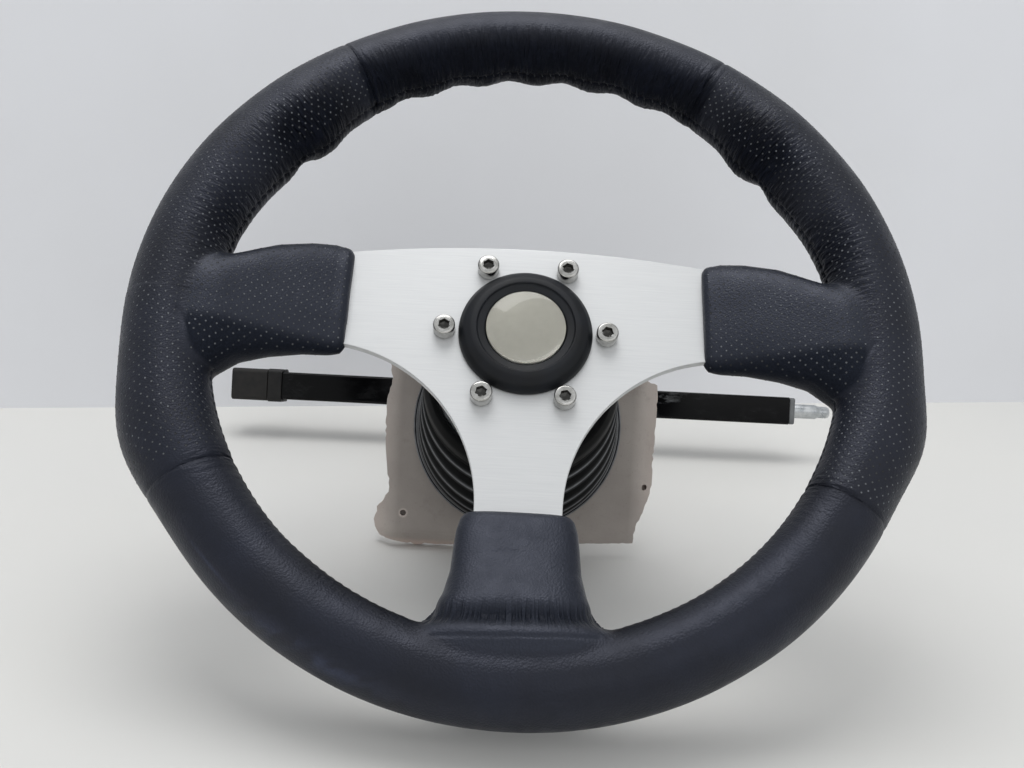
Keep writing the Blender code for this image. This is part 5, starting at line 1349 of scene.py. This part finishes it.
def carried_over():
    """Eased copies of the castings and levers, and finishes for the inner nodes."""
    for node, body, finish, slot in EASED:
        eased(node, body, finish, slot)
    small = {f"{kind}_screw_{i}": STAINLESS for kind in ("neck", "cover") for i in range(1, 5)}
    for node, finish in {**PLAIN, **small}.items():
        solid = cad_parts[node]
        if not solid.material_slots:
            solid.data.materials.append(finish)
        for place in solid.material_slots:
            place.material = finish


# Stage

def backdrop():
    """A pale floor at the foot of the part and a pale wall behind it."""
    floor_height = CAD_BOX[0].z
    floor = [(x * STAGE_REACH, y * STAGE_REACH, floor_height)
             for x, y in ((-1, -1), (1, -1), (1, 1), (-1, 1))]
    wall = [(x * STAGE_REACH, WALL_PLACE + WALL_TURN * x * STAGE_REACH, z)
            for x, z in ((-1, -0.2), (1, -0.2), (1, STAGE_REACH), (-1, STAGE_REACH))]
    for name, code, corners in (("floor", "#dbdad6", floor), ("wall", "#e8e9ed", wall)):
        mesh = bpy.data.meshes.new(name)
        mesh.from_pydata(corners, [], [(0, 1, 2, 3)])
        made = placed(name, mesh)
        paint, tree, shader, place = material(name + "_paint", Roughness=0.7,
                                              Specular_IOR_Level=0.2)
        soft = cloud(tree, place, 0.25, 3.0)
        tree.links.new(tone(tree, soft, 0.3, 0.7, code, "#d4d4d4", 0.0, 0.25),
                       shader.inputs["Base Color"])
        mesh.materials.append(paint)
        if name == "wall":
            # Seen from behind, the wall is clear and casts no shadow
            made.visible_shadow = False
            clear = add(tree, "ShaderNodeBsdfTransparent")
            behind = add(tree, "ShaderNodeNewGeometry").outputs["Backfacing"]
            seen = add(tree, "ShaderNodeMixShader",
                       {0: behind, 1: shader.outputs[0], 2: clear.outputs[0]})
            tree.links.new(seen.outputs[0], tree.nodes["Material Output"].inputs["Surface"])


def light_and_camera():
    """Soft daylight, a softbox above and one in front, and the photograph's camera."""
    scene = bpy.context.scene
    scene.world = bpy.data.worlds.new("daylight")
    scene.world.use_nodes = True
    tree = scene.world.node_tree
    sky = tree.nodes["Background"]
    sky.inputs["Color"].default_value = linear("#f4f6f8")
    glossy = add(tree, "ShaderNodeLightPath").outputs["Is Glossy Ray"]
    vary(tree, sky.inputs["Strength"], glossy, 0.0, 1.0, 0.84, 0.72)
    for name, place, aim, size, power in (
            ("softbox_above", (-0.15, 0.1, 1.45), (0.0, -0.05, 0.0), 1.0, 9.5),
            ("softbox_front", (0.6, -1.6, 1.1), (0.0, 0.0, 0.05), 1.4, 3.0)):
        light = bpy.data.lights.new(name, "AREA")
        light.size = size
        light.energy = power
        lamp = placed(name, light)
        lamp.location = place
        lamp.rotation_euler = (Vector(aim) - Vector(place)).to_track_quat("-Z", "Y").to_euler()
    data = bpy.data.cameras.new("camera")
    data.lens = CAMERA_LENS
    data.sensor_width = 36.0
    right = CAMERA_FORWARD.cross(CAMERA_UP).normalized()
    up = right.cross(CAMERA_FORWARD).normalized()
    turn = Matrix((right, up, -CAMERA_FORWARD.normalized())).transposed()
    scene.camera = placed("camera", data)
    scene.camera.matrix_world = Matrix.Translation(CAMERA_PLACE) @ turn.to_4x4()
    scene.view_settings.view_transform = "Standard"


backdrop()
light_and_camera()
leather_wheel()
spider()
screw_set("wheel_screws", [f"wheel_screw_{i}" for i in range(1, 7)], circle(SCREW_CIRCLE, 6),
          "wheel", WHEEL, socket_screw(2.9 * MM, 16 * MM, 5 * MM, 6 * MM, 2.9 * MM, 3 * MM))
screw_set("dash_bolts", [f"dash_bolt_{i}" for i in range(1, 5)],
          circle(BOLT_CIRCLE, 4, start=math.pi / 4), "root", HELM,
          socket_screw(2.9 * MM, 13 * MM, 4.6 * MM, 2.6 * MM, 1.9 * MM, 1.5 * MM))
centre_cap()
boot()
dash_panel()
rack_tube()
carried_over()
